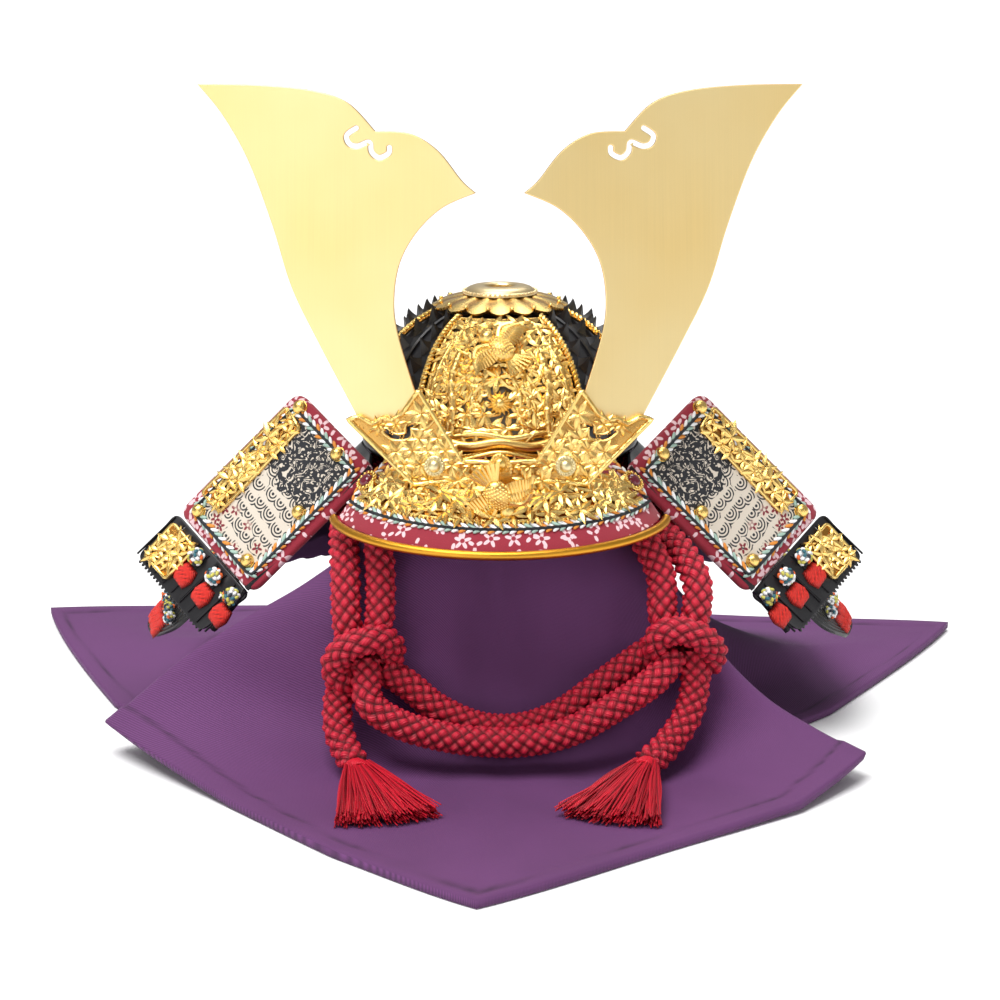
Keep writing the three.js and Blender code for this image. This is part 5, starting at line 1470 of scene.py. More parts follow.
class HELMET_OT_front_plate(bpy.types.Operator):
    """Makes the openwork plate on the front of the bowl: bamboo, leaves, a sparrow and a blossom"""

    bl_idname = "helmet.front_plate"
    bl_label = "Front plate"

    def execute(self, context):
        dice = random.Random(5)
        low, high = PLATE_CLIMBS

        def at(side, up, lift=PLATE_LIFT - 0.5):
            return bowl_frame(side * PLATE_ANGLE, low + (high - low) * up, lift)

        shape = Shape()
        rows, columns = 24, 22
        grids = []
        for lift in (0.95, GAP):
            grids.append([
                [
                    bowl_point((2 * c / columns - 1) * PLATE_ANGLE, low + (high - low) * r / rows, lift)
                    for c in range(columns + 1)
                ]
                for r in range(rows + 1)
            ])
        faces = shell_faces(rows + 1, columns + 1)
        # The ground's low rise gives it painted shade under the openwork.
        shape.add(np.array(grids).reshape(-1, 3), faces, 1, rises=0.35)
        border = [at(-1, t, 1.1)[:3, 3] for t in np.linspace(0, 1, 30)]
        border += [at(s, 1, 1.1)[:3, 3] for s in np.linspace(-0.9, 0.9, 12)]
        border += [at(1, t, 1.1)[:3, 3] for t in np.linspace(1, 0, 30)]
        tube(shape, border, 0.75, 8, rises=0.8)
        for side in (-1, 1):
            cane(
                shape, at,
                ((side * 0.62, 0.02), (side * 0.6, 0.22), (side * 0.66, 0.42), (side * 0.62, 0.62)), 1.5,
            )
            cane(shape, at, ((side * 0.34, 0.08), (side * 0.36, 0.26), (side * 0.28, 0.4)), 1.0)
            cane(
                shape, at, ((side * 0.9, 0.1), (side * 0.92, 0.35), (side * 0.86, 0.6), (side * 0.74, 0.85)),
                1.0,
            )
        size = choices("metal_choices").leaf / MM
        for row in range(11):
            up = 0.1 + row * 0.083
            slope = (low + (high - low) * up) * math.pi / 2
            width = 2 * 0.92 * PLATE_ANGLE * DEG * BOWL_HALF_LENGTH * math.cos(slope) ** 0.8
            across = max(3, int(round(width / 5.4)))
            for k in range(across):
                side = ((k + 0.5 + 0.25 * (row % 2) - 0.125) / across * 2 - 1) * 0.94
                if abs(side) < 0.15 and 0.14 < up < 0.36 or abs(side) < 0.24 and 0.54 < up < 0.7:
                    continue
                if up < 0.5 and dice.random() < 0.05:
                    continue
                spot = moved(
                    at(side, up, 1.25), dice.uniform(-0.8, 0.8), dice.uniform(-0.8, 0.8), dice.uniform(0, 0.5)
                )
                spray(
                    shape, spot, dice, dice.choice((5, 5, 6)), size * dice.uniform(0.9, 1.1), 270, 0.85,
                    dice.uniform(0, 360),
                )
        bird(shape, moved(at(0, 0.64, 2.2), turn=48), 7.2)
        boss = at(0, 0.26, 1.0)
        profile = (
            (2.9, 0), (2.9, 0.9), (2.0, 1.2), (1.7, 1.5), (1.3, 2.0), (0.8, 2.3), (0.4, 2.4), (0, 2.4),
        )
        lathe(shape, boss, profile, 24, rises=(0.3, 0.4, 0.2, 0.3, 0.7, 0.9, 1, 1))
        for k in range(16):
            leaf(shape, moved(boss, z=1.2, turn=k * 22.5), 4.4, 1.5, 0.9)
        for side in (-1, 1):
            for s, up, scale, hand in (
                (0.28, 0.2, 2.2, 1), (0.5, 0.13, 1.9, -1), (0.2, 0.33, 1.5, -1), (0.75, 0.12, 1.8, 1)
            ):
                curl(shape, moved(at(side * s, up, 1.6), turn=90 - side * 60), scale, 1.3, hand * side)
        for k, radius in enumerate((1.9, 1.4, 1.0)):
            wave = [
                placed(
                    at(s, 0.01 + 0.045 * k + 0.012 * math.cos(s * 8 + k * 2), 1.0 + 0.3 * (2 - k)),
                    [(0, 0, 0)],
                )[0]
                for s in np.linspace(-0.97, 0.97, 60)
            ]
            tube(shape, wave, radius, 10, rises=0.6 + 0.15 * k)
        shape.make("pierced_front_plate", finishes("cast", "ground"), "gilt_brass", ["front_plate"], angle=45)

        brow = Shape()
        for lift, low_z, peak, radius in ((2.6, 102.9, 4.0, 1.0), (1.4, 104.6, 2.6, 0.8)):
            line = []
            for s in np.linspace(-1, 1, 60):
                x, y, _ = bowl_point(s * 44, 0, lift)
                line.append((x, y, low_z + peak * math.exp(-((s / 0.3) ** 2))))
            tube(brow, line, radius, 8, rises=0.85)
        brow.make("brow_line", finishes("plain"), "gilt_brass", angle=50)
        return {"FINISHED"}


# Visor

LEATHER_THICKNESS = 1.8


def braid_row(shape, path, normals, width, slots, pitch=2.3):
    """A flat braid on a surface: two rows of slanted pads that meet in the middle, in repeating silks."""
    path = even(np.hstack([path, normals])[:, :3], pitch)
    ahead = np.gradient(path, axis=0)
    ahead /= np.linalg.norm(ahead, axis=1)[:, None]
    spots = np.linspace(0, 1, len(path))
    source = np.linspace(0, 1, len(normals))
    up = np.stack([np.interp(spots, source, normals[:, k]) for k in range(3)], axis=1)
    # The core shows between the pads; its low rise gives it painted shade.
    tube(shape, path + up * 0.1, width / 2, 6, slots[3], rises=0.3, flat=0.45)
    order = (0, 1, 0, 2)
    for k in range(len(path) - 1):
        for side in (-1, 1):
            base = frame_from(path[k] + up[k] * 0.45, ahead[k], np.cross(up[k], ahead[k]))
            scaled = moved(base, y=side * width * 0.25, turn=side * -34)
            scaled[:3, 0] *= pitch * 0.92
            scaled[:3, 1] *= width * 0.23
            scaled[:3, 2] *= 0.6
            slot = slots[order[(k + (1 if side > 0 else 0)) % 4]]
            ball(shape, scaled, (1, 1, 1), slot, 8, 5, 0.85)


class HELMET_OT_visor(bpy.types.Operator):
    """Makes the visor: printed leather, gilt rim, flat braid, openwork band and the two rosettes"""

    bl_idname = "helmet.visor"
    bl_label = "Visor"

    def execute(self, context):
        shape = Shape()
        rows, columns = 16, 64
        outs = np.linspace(0, 1, rows)
        sides = np.linspace(-1, 1, columns)
        top = np.array([[visor_point(s, out) for s in sides] for out in outs])
        normal = grid_normals(top, closed=False)
        normal[normal[..., 2] < 0] *= -1
        under = top - normal * LEATHER_THICKNESS
        arc = distances(top[-1])
        places = np.array([[(a, out * 38) for a in arc] for out in outs])
        faces = shell_faces(rows, columns)
        both = np.vstack([places.reshape(-1, 2)] * 2)
        shape.add(np.vstack([top.reshape(-1, 3), under.reshape(-1, 3)]), faces, 0, both)
        shape.make("leather_visor", finishes("leather"), "printed_leather", ["visor"], angle=60)

        rim = Shape()
        path = []
        for s in np.linspace(-1, 1, 90):
            outward = visor_point(s, 1) - visor_point(s, 0.9)
            outward[2] = 0
            point = visor_point(s, 1) + unit(outward) * 2.1
            path.append(point - (0, 0, 0.9))
        tube(rim, path, 1.5, 12, rises=0.75)
        rim.make("gilt_visor_rim", finishes("rim"), "gilt_brass", ["visor_rim"], angle=60)

        width = choices("helmet_choices").braid_width / MM
        braid = Shape()
        line = [(s, 0.8) for s in np.linspace(-0.93, 0.93, 80)]
        runs = [
            line, [(-0.955, o) for o in np.linspace(0.3, 0.78, 16)],
            [(0.955, o) for o in np.linspace(0.3, 0.78, 16)],
        ]
        for run in runs:
            points = np.array([visor_point(s, o) for s, o in run])
            ups = np.array([visor_frame(s, o)[:3, 2] for s, o in run])
            braid_row(braid, points, ups, width, (0, 1, 2, 3))
        braid.make("visor_braid", finishes("white", "orange", "sage", "ink"), "crimson_cord", angle=60)

        self.band()
        self.rosettes()
        return {"FINISHED"}

    def band(self):
        dice = random.Random(8)
        shape = Shape()
        rows, columns = 8, 90
        outs = np.linspace(0.36, 0.73, rows)
        sides = np.linspace(-0.84, 0.84, columns)
        grids = [[[visor_point(s, o, lift) for s in sides] for o in outs] for lift in (0.75, 0.3)]
        faces = shell_faces(rows, columns)
        # The band's ground has the lowest rise: painted shade under the sprays.
        shape.add(np.array(grids).reshape(-1, 3), faces, 0, rises=0.05)
        border = [visor_point(s, 0.735, 0.9) for s in np.linspace(-0.84, 0.84, 120)]
        tube(shape, border, 0.55, 6, rises=0.8)
        beads = even([visor_point(s, 0.755, 0.8) for s in np.linspace(-0.85, 0.85, 200)], 1.5)
        for point in beads:
            spot = np.eye(4)
            spot[:3, 3] = point
            ball(shape, spot, (0.55, 0.55, 0.55), across=6, down=5)
        size = choices("metal_choices").leaf / MM
        for side in (-1, 1):
            for k in range(3):
                places = [
                    (side * (0.12 + 0.7 * t), 0.42 + 0.12 * k + 0.03 * math.sin(t * 9 + k * 2))
                    for t in np.linspace(0, 1, 8)
                ]
                cane(shape, lambda s, o: moved(visor_frame(s, o), z=0.9), places, 0.62)
        for row, out in enumerate((0.43, 0.55, 0.67)):
            for k in range(19):
                s = ((k + 0.5 + 0.5 * (row % 2)) / 19.5 * 2 - 1) * 0.82
                spot = moved(
                    visor_frame(s, out), dice.uniform(-1, 1), dice.uniform(-0.8, 0.8),
                    1.0 + dice.uniform(0, 0.5),
                )
                spray(
                    shape, spot, dice, dice.choice((5, 5, 6)), size * dice.uniform(0.95, 1.15), 250, 0.75,
                    dice.uniform(0, 360),
                )
        shape.make("openwork_band", finishes("cast"), "gilt_brass", ["visor_ornament"], angle=45)

    def rosettes(self):
        for sign, name in ((-1, "left"), (1, "right")):
            side = 0.93 * sign
            across = visor_point(side, 0.55) - visor_point(side - 0.05, 0.55)
            along = visor_point(side, 0.5) - visor_point(side, 0.6)
            base = moved(frame_from(visor_point(side, 0.55), across, along), z=0.6)
            shape = Shape()
            lathe(shape, base, ((0, 0), (4, 0), (4, 0.5), (3.7, 0.8), (0, 0.8)), 28, 1)
            for k in range(14):
                turn = k / 14 * 360
                spot = moved(base, 3.35 * math.cos(turn * DEG), 3.35 * math.sin(turn * DEG), 0.9)
                ball(shape, spot, (0.65, 0.65, 0.6), 1, 8, 6)
            ball(shape, moved(base, z=0.8), (2.5, 2.5, 1.6), 0, 18, 10)
            shape.make(
                f"set_rosette_{name}", finishes("garnet", "plain"), "garnet_glass", [f"rosette_{name}"],
                angle=50,
            )


# Horns and holder

HORN_REACH = 101.6
HORN_RISE = 129.3
HORN_STRETCHES = (
    ((1, 0.998), (0.8, 0.997), (0.625, 0.985), (0.509, 0.955), (0.42, 0.886)),
    ((0.42, 0.886), (0.309, 0.881), (0.218, 0.84), (0.14, 0.767), (0.094, 0.736)),
    (
        (0.094, 0.736), (0.2, 0.698), (0.282, 0.636), (0.336, 0.558), (0.353, 0.463), (0.337, 0.374),
        (0.277, 0.226),
    ),
    ((0.277, 0.226), (0.262, 0.17)),
    ((0.262, 0.17), (0.448, 0.13)),
    ((0.448, 0.13), (0.476, 0.18)),
    (
        (0.476, 0.18), (0.601, 0.358), (0.688, 0.493), (0.752, 0.647), (0.831, 0.806), (0.916, 0.92),
        (1, 0.998),
    ),
)
HORN_SCROLL = (
    (0.481, 0.893), (0.512, 0.875), (0.504, 0.854), (0.477, 0.848),
    (0.439, 0.858), (0.431, 0.834), (0.407, 0.82), (0.377, 0.831), (0.374, 0.846),
)
HOLDER_REACH = 51
HOLDER_RISE = 31.5
HORN_SETBACK = 1.9
HORN_SHEET = 1.0
HOLDER_OUTLINE = (
    (1, 0.676), (0.925, 0.71), (0.835, 0.63), (0.77, 0.7), (0.71, 0.676), (0.643, 0.746), (0.59, 0.87),
    (0.535, 1), (0.237, 0.26), (0.05, 0.26), (0.05, 0.1), (0.557, 0), (0.78, 0.34),
)
HOLDER_SCROLL = ((0.44, 0.72), (0.5, 0.62), (0.59, 0.62), (0.6, 0.52), (0.68, 0.5), (0.74, 0.56))


class HELMET_OT_horns(bpy.types.Operator):
    """Cuts the two horns from sheet, with their scroll slot and rounded edges"""

    bl_idname = "helmet.horns"
    bl_label = "Horns"

    def execute(self, context):
        outline = []
        for stretch in HORN_STRETCHES:
            points = [(-out * HORN_REACH, up * HORN_RISE) for out, up in stretch]
            outline += [tuple(p) for p in smooth_stretch(points, 10)[:-1]]
        slot = stroke([(-out * HORN_REACH, up * HORN_RISE) for out, up in HORN_SCROLL], 1.7)
        bevel = choices("metal_choices").horn_bevel / MM
        shape = Shape()
        plate(shape, horn_frame(-HORN_SETBACK), [outline, slot], HORN_SHEET, bevel, (0, 1))
        shape.make_pair("satin_horn_{}", finishes("sheet", "edge"), "pale_gilt", "horn_{}", angle=12)
        return {"FINISHED"}


class HELMET_OT_holder(bpy.types.Operator):
    """Makes the horn holder: framed plates with bamboo leaves in relief, scrolls and the three rivets"""

    bl_idname = "helmet.holder"
    bl_label = "Horn holder"

    def execute(self, context):
        dice = random.Random(21)
        outline = [(-out * HOLDER_REACH, up * HOLDER_RISE) for out, up in HOLDER_OUTLINE]
        scroll = [(-out * HOLDER_REACH, up * HOLDER_RISE) for out, up in HOLDER_SCROLL]
        side = Shape()
        # The plate's low rise gives it painted shade round the raised leaves.
        plate(side, horn_frame(), [outline, stroke(scroll, 1.3)], 1.6, 0.25, (0, 0), (0.3, 0.3))
        base = horn_frame()
        edge = [(x, y, 0.1) for x, y in outline]
        loop = even(placed(base, edge + edge[:1]), 0.9)[:-1]
        centre = placed(base, [(-0.5 * HOLDER_REACH, 0.45 * HOLDER_RISE, 0.1)])[0]
        loop = loop + (centre - loop) * 0.03
        tube(side, loop, 0.85, 8, closed=True, rises=0.9)
        around = np.array(stroke(scroll, 2.2))
        tube(side, placed(base, [(x, y, 0.3) for x, y in around]), 0.36, 6, closed=True, rises=0.95)
        size = choices("metal_choices").leaf / MM * 0.95
        pitch = 5.4
        for row in range(7):
            for k in range(11):
                x = -2 - k * pitch - (row % 2) * pitch / 2 + dice.uniform(-0.6, 0.6)
                y = 2.5 + row * pitch * 0.8 + dice.uniform(-0.6, 0.6)
                if not inside((x, y), outline) or edge_distance((x, y), outline) < 1.3:
                    continue
                if min(math.hypot(x - sx, y - sy) for sx, sy in smooth_stretch(scroll, 5)) < 2.0:
                    continue
                scale = min(size * 1.1, edge_distance((x, y), outline) + 3.0) * dice.uniform(0.9, 1.0)
                spray(
                    side, moved(base, x, y, 0.1), dice, dice.choice((6, 7)), scale, 310, 0.7,
                    dice.uniform(0, 360),
                )
        for k in range(420):
            x, y = dice.uniform(-HOLDER_REACH, -2), dice.uniform(0, HOLDER_RISE)
            if inside((x, y), outline) and edge_distance((x, y), outline) > 1.0:
                ball(side, moved(base, x, y, 0.05), (0.36, 0.36, 0.4), 0, 5, 4, 0.55)
        whole = Shape()
        for part in (side, side.mirrored()):
            for points, places, rises in zip(part.points, part.places, part.rises):
                whole.points.append(points)
                whole.places.append(places)
                whole.rises.append(rises)
            whole.faces += [[whole.total + i for i in face] for face in part.faces]
            whole.slots += part.slots
            whole.total += part.total
        bridge = np.eye(4)
        bridge[:3, 0], bridge[:3, 1], bridge[:3, 2] = (1, 0, 0), (0, 0, 1), (0, -1, 0)
        bridge[:3, 3] = (0, -63.4, HOLDER_FOOT)
        plate(
            whole, bridge, [[(-15.3, 1.0), (15.3, 1.0), (15.3, 4.6), (-15.3, 4.6)]], 1.6, 0.4, (0, 0),
            (0.4, 0.4),
        )
        for x in (-13.5, -8.5, 8.5, 13.5):
            spray(whole, moved(bridge, x, 2.8, 1.1), dice, 7, 5.8, 310, 0.7, dice.uniform(0, 360))
        plate(
            whole, moved(bridge, z=-0.2), [[(-3, 2.4), (3, 2.4), (3, 5.4), (-3, 5.4)]], 10.6, 0.3, (0, 0),
            (0.5, 0.5),
        )
        whole.make("leafy_horn_holder", finishes("cast"), "gilt_brass", ["horn_holder"], angle=45)
        self.rivets()
        return {"FINISHED"}

    def rivets(self):
        for name, x, up in (("left", -21.5, 0.21), ("middle", 0, 0.26), ("right", 21.5, 0.21)):
            z = HOLDER_FOOT + up * HOLDER_RISE
            if x:
                base = moved(horn_frame(), -abs(x), up * HOLDER_RISE, 0.9)
            else:
                base = frame_from((0, -63.9, z), (1, 0, 0), (0, 0, 1))
            shape = Shape()
            lathe(shape, base, ((0, -0.6), (3.4, -0.6), (3.4, 0.1), (3.1, 0.35), (0, 0.35)), 28)
            for k in range(16):
                turn = k / 16 * 2 * math.pi
                ball(
                    shape, moved(base, 2.85 * math.cos(turn), 2.85 * math.sin(turn), 0.4), (0.5, 0.5, 0.42),
                    0, 7, 5,
                )
            ball(shape, moved(base, z=0.5), (2.1, 2.1, 1.65), 0, 20, 12, 1.0)
            if x > 0:
                shape = shape.mirrored()
            key, metal = ("silvered", "silvered") if x else ("plain", "gilt_brass")
            shape.make(f"beaded_rivet_{name}", finishes(key), metal, [f"holder_rivet_{name}"], angle=50)


class HELMET_OT_sparrow(bpy.types.Operator):
    """Makes the gilt sparrow over the middle of the holder, with leaf sprays at its sides"""

    bl_idname = "helmet.sparrow"
    bl_label = "Sparrow"

    def execute(self, context):
        dice = random.Random(3)
        shape = Shape()
        base = moved(frame_from((-0.5, -70.5, 97.5), (1, 0, 0), (0, -0.35, 1)), turn=-152)
        bird(shape, base, 7.6)
        tube(shape, [(0, -62.5, 98.5), (0, -67, 98), (0, -70.5, 97.5)], 1.8, 8, rises=0.5)
        shape.make("flying_sparrow", finishes("cast"), "gilt_brass", ["holder_sparrow"], angle=50)
        leaves = Shape()
        for side in (-1, 1):
            for s, out, count in ((0.17, 0.42, 6), (0.23, 0.56, 6), (0.14, 0.62, 5), (0.32, 0.5, 6)):
                spot = moved(visor_frame(side * s, out), z=2.3)
                spray(leaves, spot, dice, count, 8.0, 230, 0.9, 90 + side * 60)
                tube(leaves, placed(spot, [(0, 0, -1.9), (0, 0, 0.5)]), 0.8, 6, rises=0.6)
        leaves.make("leaf_sprays", finishes("cast"), "gilt_brass", angle=45)
        return {"FINISHED"}


# Neck guard and wings

LAME_EDGES = (
    (
        (-0.685, -0.242, 0.375), (-0.71, -0.08, 0.405), (-0.74, 0.1, 0.43), (-0.645, 0.4, 0.46),
        (-0.37, 0.66, 0.472), (0, 0.758, 0.472),
    ),
    (
        (-0.782, -0.202, 0.153), (-0.83, -0.04, 0.195), (-0.871, 0.12, 0.222), (-0.758, 0.484, 0.25),
        (-0.435, 0.774, 0.25), (0, 0.887, 0.25),
    ),
    (
        (-0.976, 0.06, 0.014), (-0.99, 0.12, 0.02), (-0.995, 0.2, 0.028), (-0.871, 0.58, 0.07),
        (-0.5, 0.9, 0.097), (0, 1.02, 0.097),
    ),
)
LAME_COLUMNS = 20
LACE_PITCH = 7.6
WING_CORNERS = ((-0.01, -0.04), (1, -0.04), (1, 1), (0, 1))
SMALL_WING_CORNERS = ((1.012, -0.03), (1.37, 0.05), (1.36, 0.98), (1.012, 1.01))
ORNAMENT_CORNERS = ((0.13, 0.7), (0.82, 0.68), (0.82, 0.96), (0.1, 0.96))
SMALL_ORNAMENT_CORNERS = ((1.05, 0.6), (1.32, 0.6), (1.32, 0.93), (1.05, 0.95))
ROLL_START = 29
ROLL_RADIUS = 13
WING_RIVETS = ((0.08, 0.3), (0.47, 0.17), (0.88, 0.19), (0.9, 0.85), (0.055, 0.86))


def smooth_row(points, columns):
    right = [(-x, y, z) for x, y, z in points[-2::-1]]
    return centripetal([*points, *right], np.linspace(0, 1, columns + 1))


def lame_grids():
    """The three lames as rows by columns of points on their outer side, as the solids have them."""
    angles = (52, 68, 90, 125, 153, 180)
    rim = [tuple(FOLD_TOP)]
    for angle in angles[1:]:
        x, y, _ = bowl_point(-angle, 0, 0.6)
        rim.append((x, y, RIM_HEIGHT - 0.5))
    top = smooth_row(rim, LAME_COLUMNS)
    grids = []
    for k, row in enumerate(LAME_EDGES):
        edge = [
            (x * GUARD_HALF_WIDTH, y * GUARD_HALF_WIDTH, RIM_HEIGHT - GUARD_DROP + z * GUARD_DROP)
            for x, y, z in row
        ]
        bottom = smooth_row(edge, LAME_COLUMNS)
        rows, sag = (3, 2) if k == 0 else (2, 0)
        grid = []
        for r in range(rows + 1):
            share = r / rows
            line = top + (bottom - top) * share
            line[:, 2] -= sag * math.sin(math.pi * share)
            grid.append(line)
        grid = np.array(grid)
        grids.append(grid)
        normal = grid_normals(grid, closed=False)
        outside = grid + normal * (LAME_THICKNESS + 0.9)
        last = rows
        top = []
        for c in range(LAME_COLUMNS + 1):
            from_end = min(c, LAME_COLUMNS - c)
            if from_end == 0:
                top.append(grid[last][c] + (0, 0, -0.6))
                continue
            lap = 1.02 if from_end == 1 else 0.96
            share = 1 - (1 - lap) * last
            top.append(outside[last - 1][c] + (outside[last][c] - outside[last - 1][c]) * share)
        top = np.array(top)
    return grids


def rolled(shape):
    """Bends what lies past the roll line of a wing back round it, as stiff leather is."""
    frame_in = wing_frame()
    for k, points in enumerate(shape.points):
        local = (points - frame_in[:3, 3]) @ frame_in[:3, :3]
        turn = np.clip(local[:, 1] - ROLL_START, 0, None) / ROLL_RADIUS
        reach = ROLL_RADIUS + local[:, 2]
        past = turn > 0
        local[:, 1] = np.where(past, ROLL_START + reach * np.sin(turn), local[:, 1])
        local[:, 2] = np.where(past, reach * np.cos(turn) - ROLL_RADIUS, local[:, 2])
        shape.points[k] = placed(frame_in, local)


def finer(grid, rows, columns, lean=0.0):
    """The same surface, smoothed to more rows and columns; lean cuts its ends back along the top."""
    wide = []
    for share, row in zip(np.linspace(1, 0, len(grid)), grid):
        wide.append(centripetal(row, np.linspace(lean * share, 1 - lean * share, columns)))
    wide = np.array(wide)
    shares = np.linspace(0, 1, rows)
    return np.stack([centripetal(wide[:, c], shares) for c in range(columns)], axis=1)


def rounded(corners, radius, inset=0.0, steps=6, straight=5):
    """A four-cornered outline drawn in by an inset, its corners rounded."""
    points = [np.asarray(c, float) for c in corners]
    centre = sum(points) / len(points)
    lines = []
    for a, b in zip(points, points[1:] + points[:1]):
        along = unit(b - a)
        inward = np.array((-along[1], along[0]))
        if inward @ (centre - a) < 0:
            inward = -inward
        lines.append((a + inward * inset, along))
    drawn = []
    for (p, u), (q, v) in zip(lines[-1:] + lines[:-1], lines):
        t = np.linalg.solve(np.array((u, -v)).T, q - p)[0]
        drawn.append(p + u * t)
    radius = max(radius - inset, 0.6)
    outline = []
    for i, corner in enumerate(drawn):
        before, after = drawn[i - 1], drawn[(i + 1) % len(drawn)]
        enter = corner + unit(before - corner) * radius
        leave = corner + unit(after - corner) * radius
        for k in range(steps + 1):
            t = k / steps
            outline.append((1 - t) ** 2 * enter + 2 * t * (1 - t) * corner + t * t * leave)
        following = after + unit(corner - after) * radius
        outline += [leave + (following - leave) * k / straight for k in range(1, straight)]
    return np.array(outline)


def padded_panel(shape, corners, radius, rings, thickness, bulge):
    """A panel with nested bands, (inset, material) pairs from the edge in; its middle stands up a little."""
    base = wing_frame()
    plane = [wing_place(*corner) for corner in corners]
    loops = [
        (rounded(plane, radius), -thickness + 0.3), (rounded(plane, radius), -0.5),
        (rounded(plane, radius, 0.5), 0.0),
    ]
    slots = [rings[0][1]] * 2
    for inset, slot in rings:
        loops.append((rounded(plane, radius, inset), 0.25 + bulge * min(inset / 14, 1)))
        slots.append(slot)
    inner = loops[-1][0]
    centre = inner.mean(axis=0)
    for share in (0.75, 0.5, 0.25):
        loops.append((centre + (inner - centre) * share, 0.25 + bulge * (1.05 - 0.05 * share)))
        slots.append(slots[-1])
    points = [np.hstack([loop, np.full((len(loop), 1), lift)]) for loop, lift in loops]
    n = len(inner)
    points.append(np.array([[*centre, 0.25 + bulge * 1.05]]))
    points.append(np.hstack([loops[0][0] * 0.999 + 0.001 * centre, np.full((n, 1), -thickness)]))
    flat = np.vstack(points)
    faces, marks = [], []
    for r in range(len(loops) - 1):
        for k in range(n):
            faces.append([r * n + k, r * n + (k + 1) % n, (r + 1) * n + (k + 1) % n, (r + 1) * n + k])
            marks.append(slots[r])
    last, middle = (len(loops) - 1) * n, len(loops) * n
    for k in range(n):
        faces.append([last + k, last + (k + 1) % n, middle])
        marks.append(slots[-1])
    back = middle + 1
    faces += [[back + k, back + (k + 1) % n, (k + 1) % n, k] for k in range(n)]
    marks += [rings[0][1]] * n
    faces.append([back + k for k in range(n)][::-1])
    marks.append(2)
    shape.add(placed(base, flat), faces, marks, flat[:, :2])
    return plane


def lace_block(shape, base, width, height, slot=0):
    """A lozenge of lacing silk wound over a slat."""
    points, rises = [], []
    rows, columns = 11, 13
    for r in range(rows):
        v = r / (rows - 1) * 2 - 1
        for c in range(columns):
            u = c / (columns - 1) * 2 - 1
            pinch = 1 - 0.3 * abs(v) ** 1.3
            swell = ((1 - abs(u) ** 3) * (1 - abs(v) ** 3)) ** 0.5 if abs(u) < 1 and abs(v) < 1 else 0
            weave = abs(math.sin(math.pi * 2 * (u + v)) * math.sin(math.pi * 2 * (u - v))) ** 0.5
            points.append(
                (u * width / 2 * pinch, v * height / 2, 1.5 * swell + 0.5 * weave * (swell > 0) - 0.2)
            )
            # The rise gives the weave's channels and the block's edge painted shade.
            rises.append(0.15 + 0.85 * weave * (swell > 0))
    points += [(x, y, -0.5) for x, y, _ in points]
    faces = shell_faces(rows, columns)
    flat = np.array([(x, y) for x, y, _ in points])
    shape.add(placed(base, points), faces, slot, flat, rises + rises)


# In radians
GOLDEN_TURN = 2.39996


def silk_ball(shape, base, radius, dice, slots):
    """A knot ball of many little stitches in mixed silks."""
    count = 40
    # The core ball's low rise gives painted shade between the stitches.
    ball(shape, base, (radius * 0.86,) * 3, slots[0], 12, 8, 0.3)
    for k in range(count):
        z = 1 - 2 * (k + 0.5) / count
        turn = k * GOLDEN_TURN
        r = math.sqrt(1 - z * z)
        normal = np.array((r * math.cos(turn), r * math.sin(turn), z))
        if z < -0.35:
            continue
        aside = np.cross(normal, (0.3, 0.5, 0.8))
        spot = frame_from(normal * radius * 0.86, aside, -np.cross(normal, aside))
        spot = base @ moved(spot, turn=dice.uniform(0, 180))
        ball(shape, spot, (radius * 0.34, radius * 0.22, radius * 0.22), dice.choice(slots), 5, 4, 0.85)


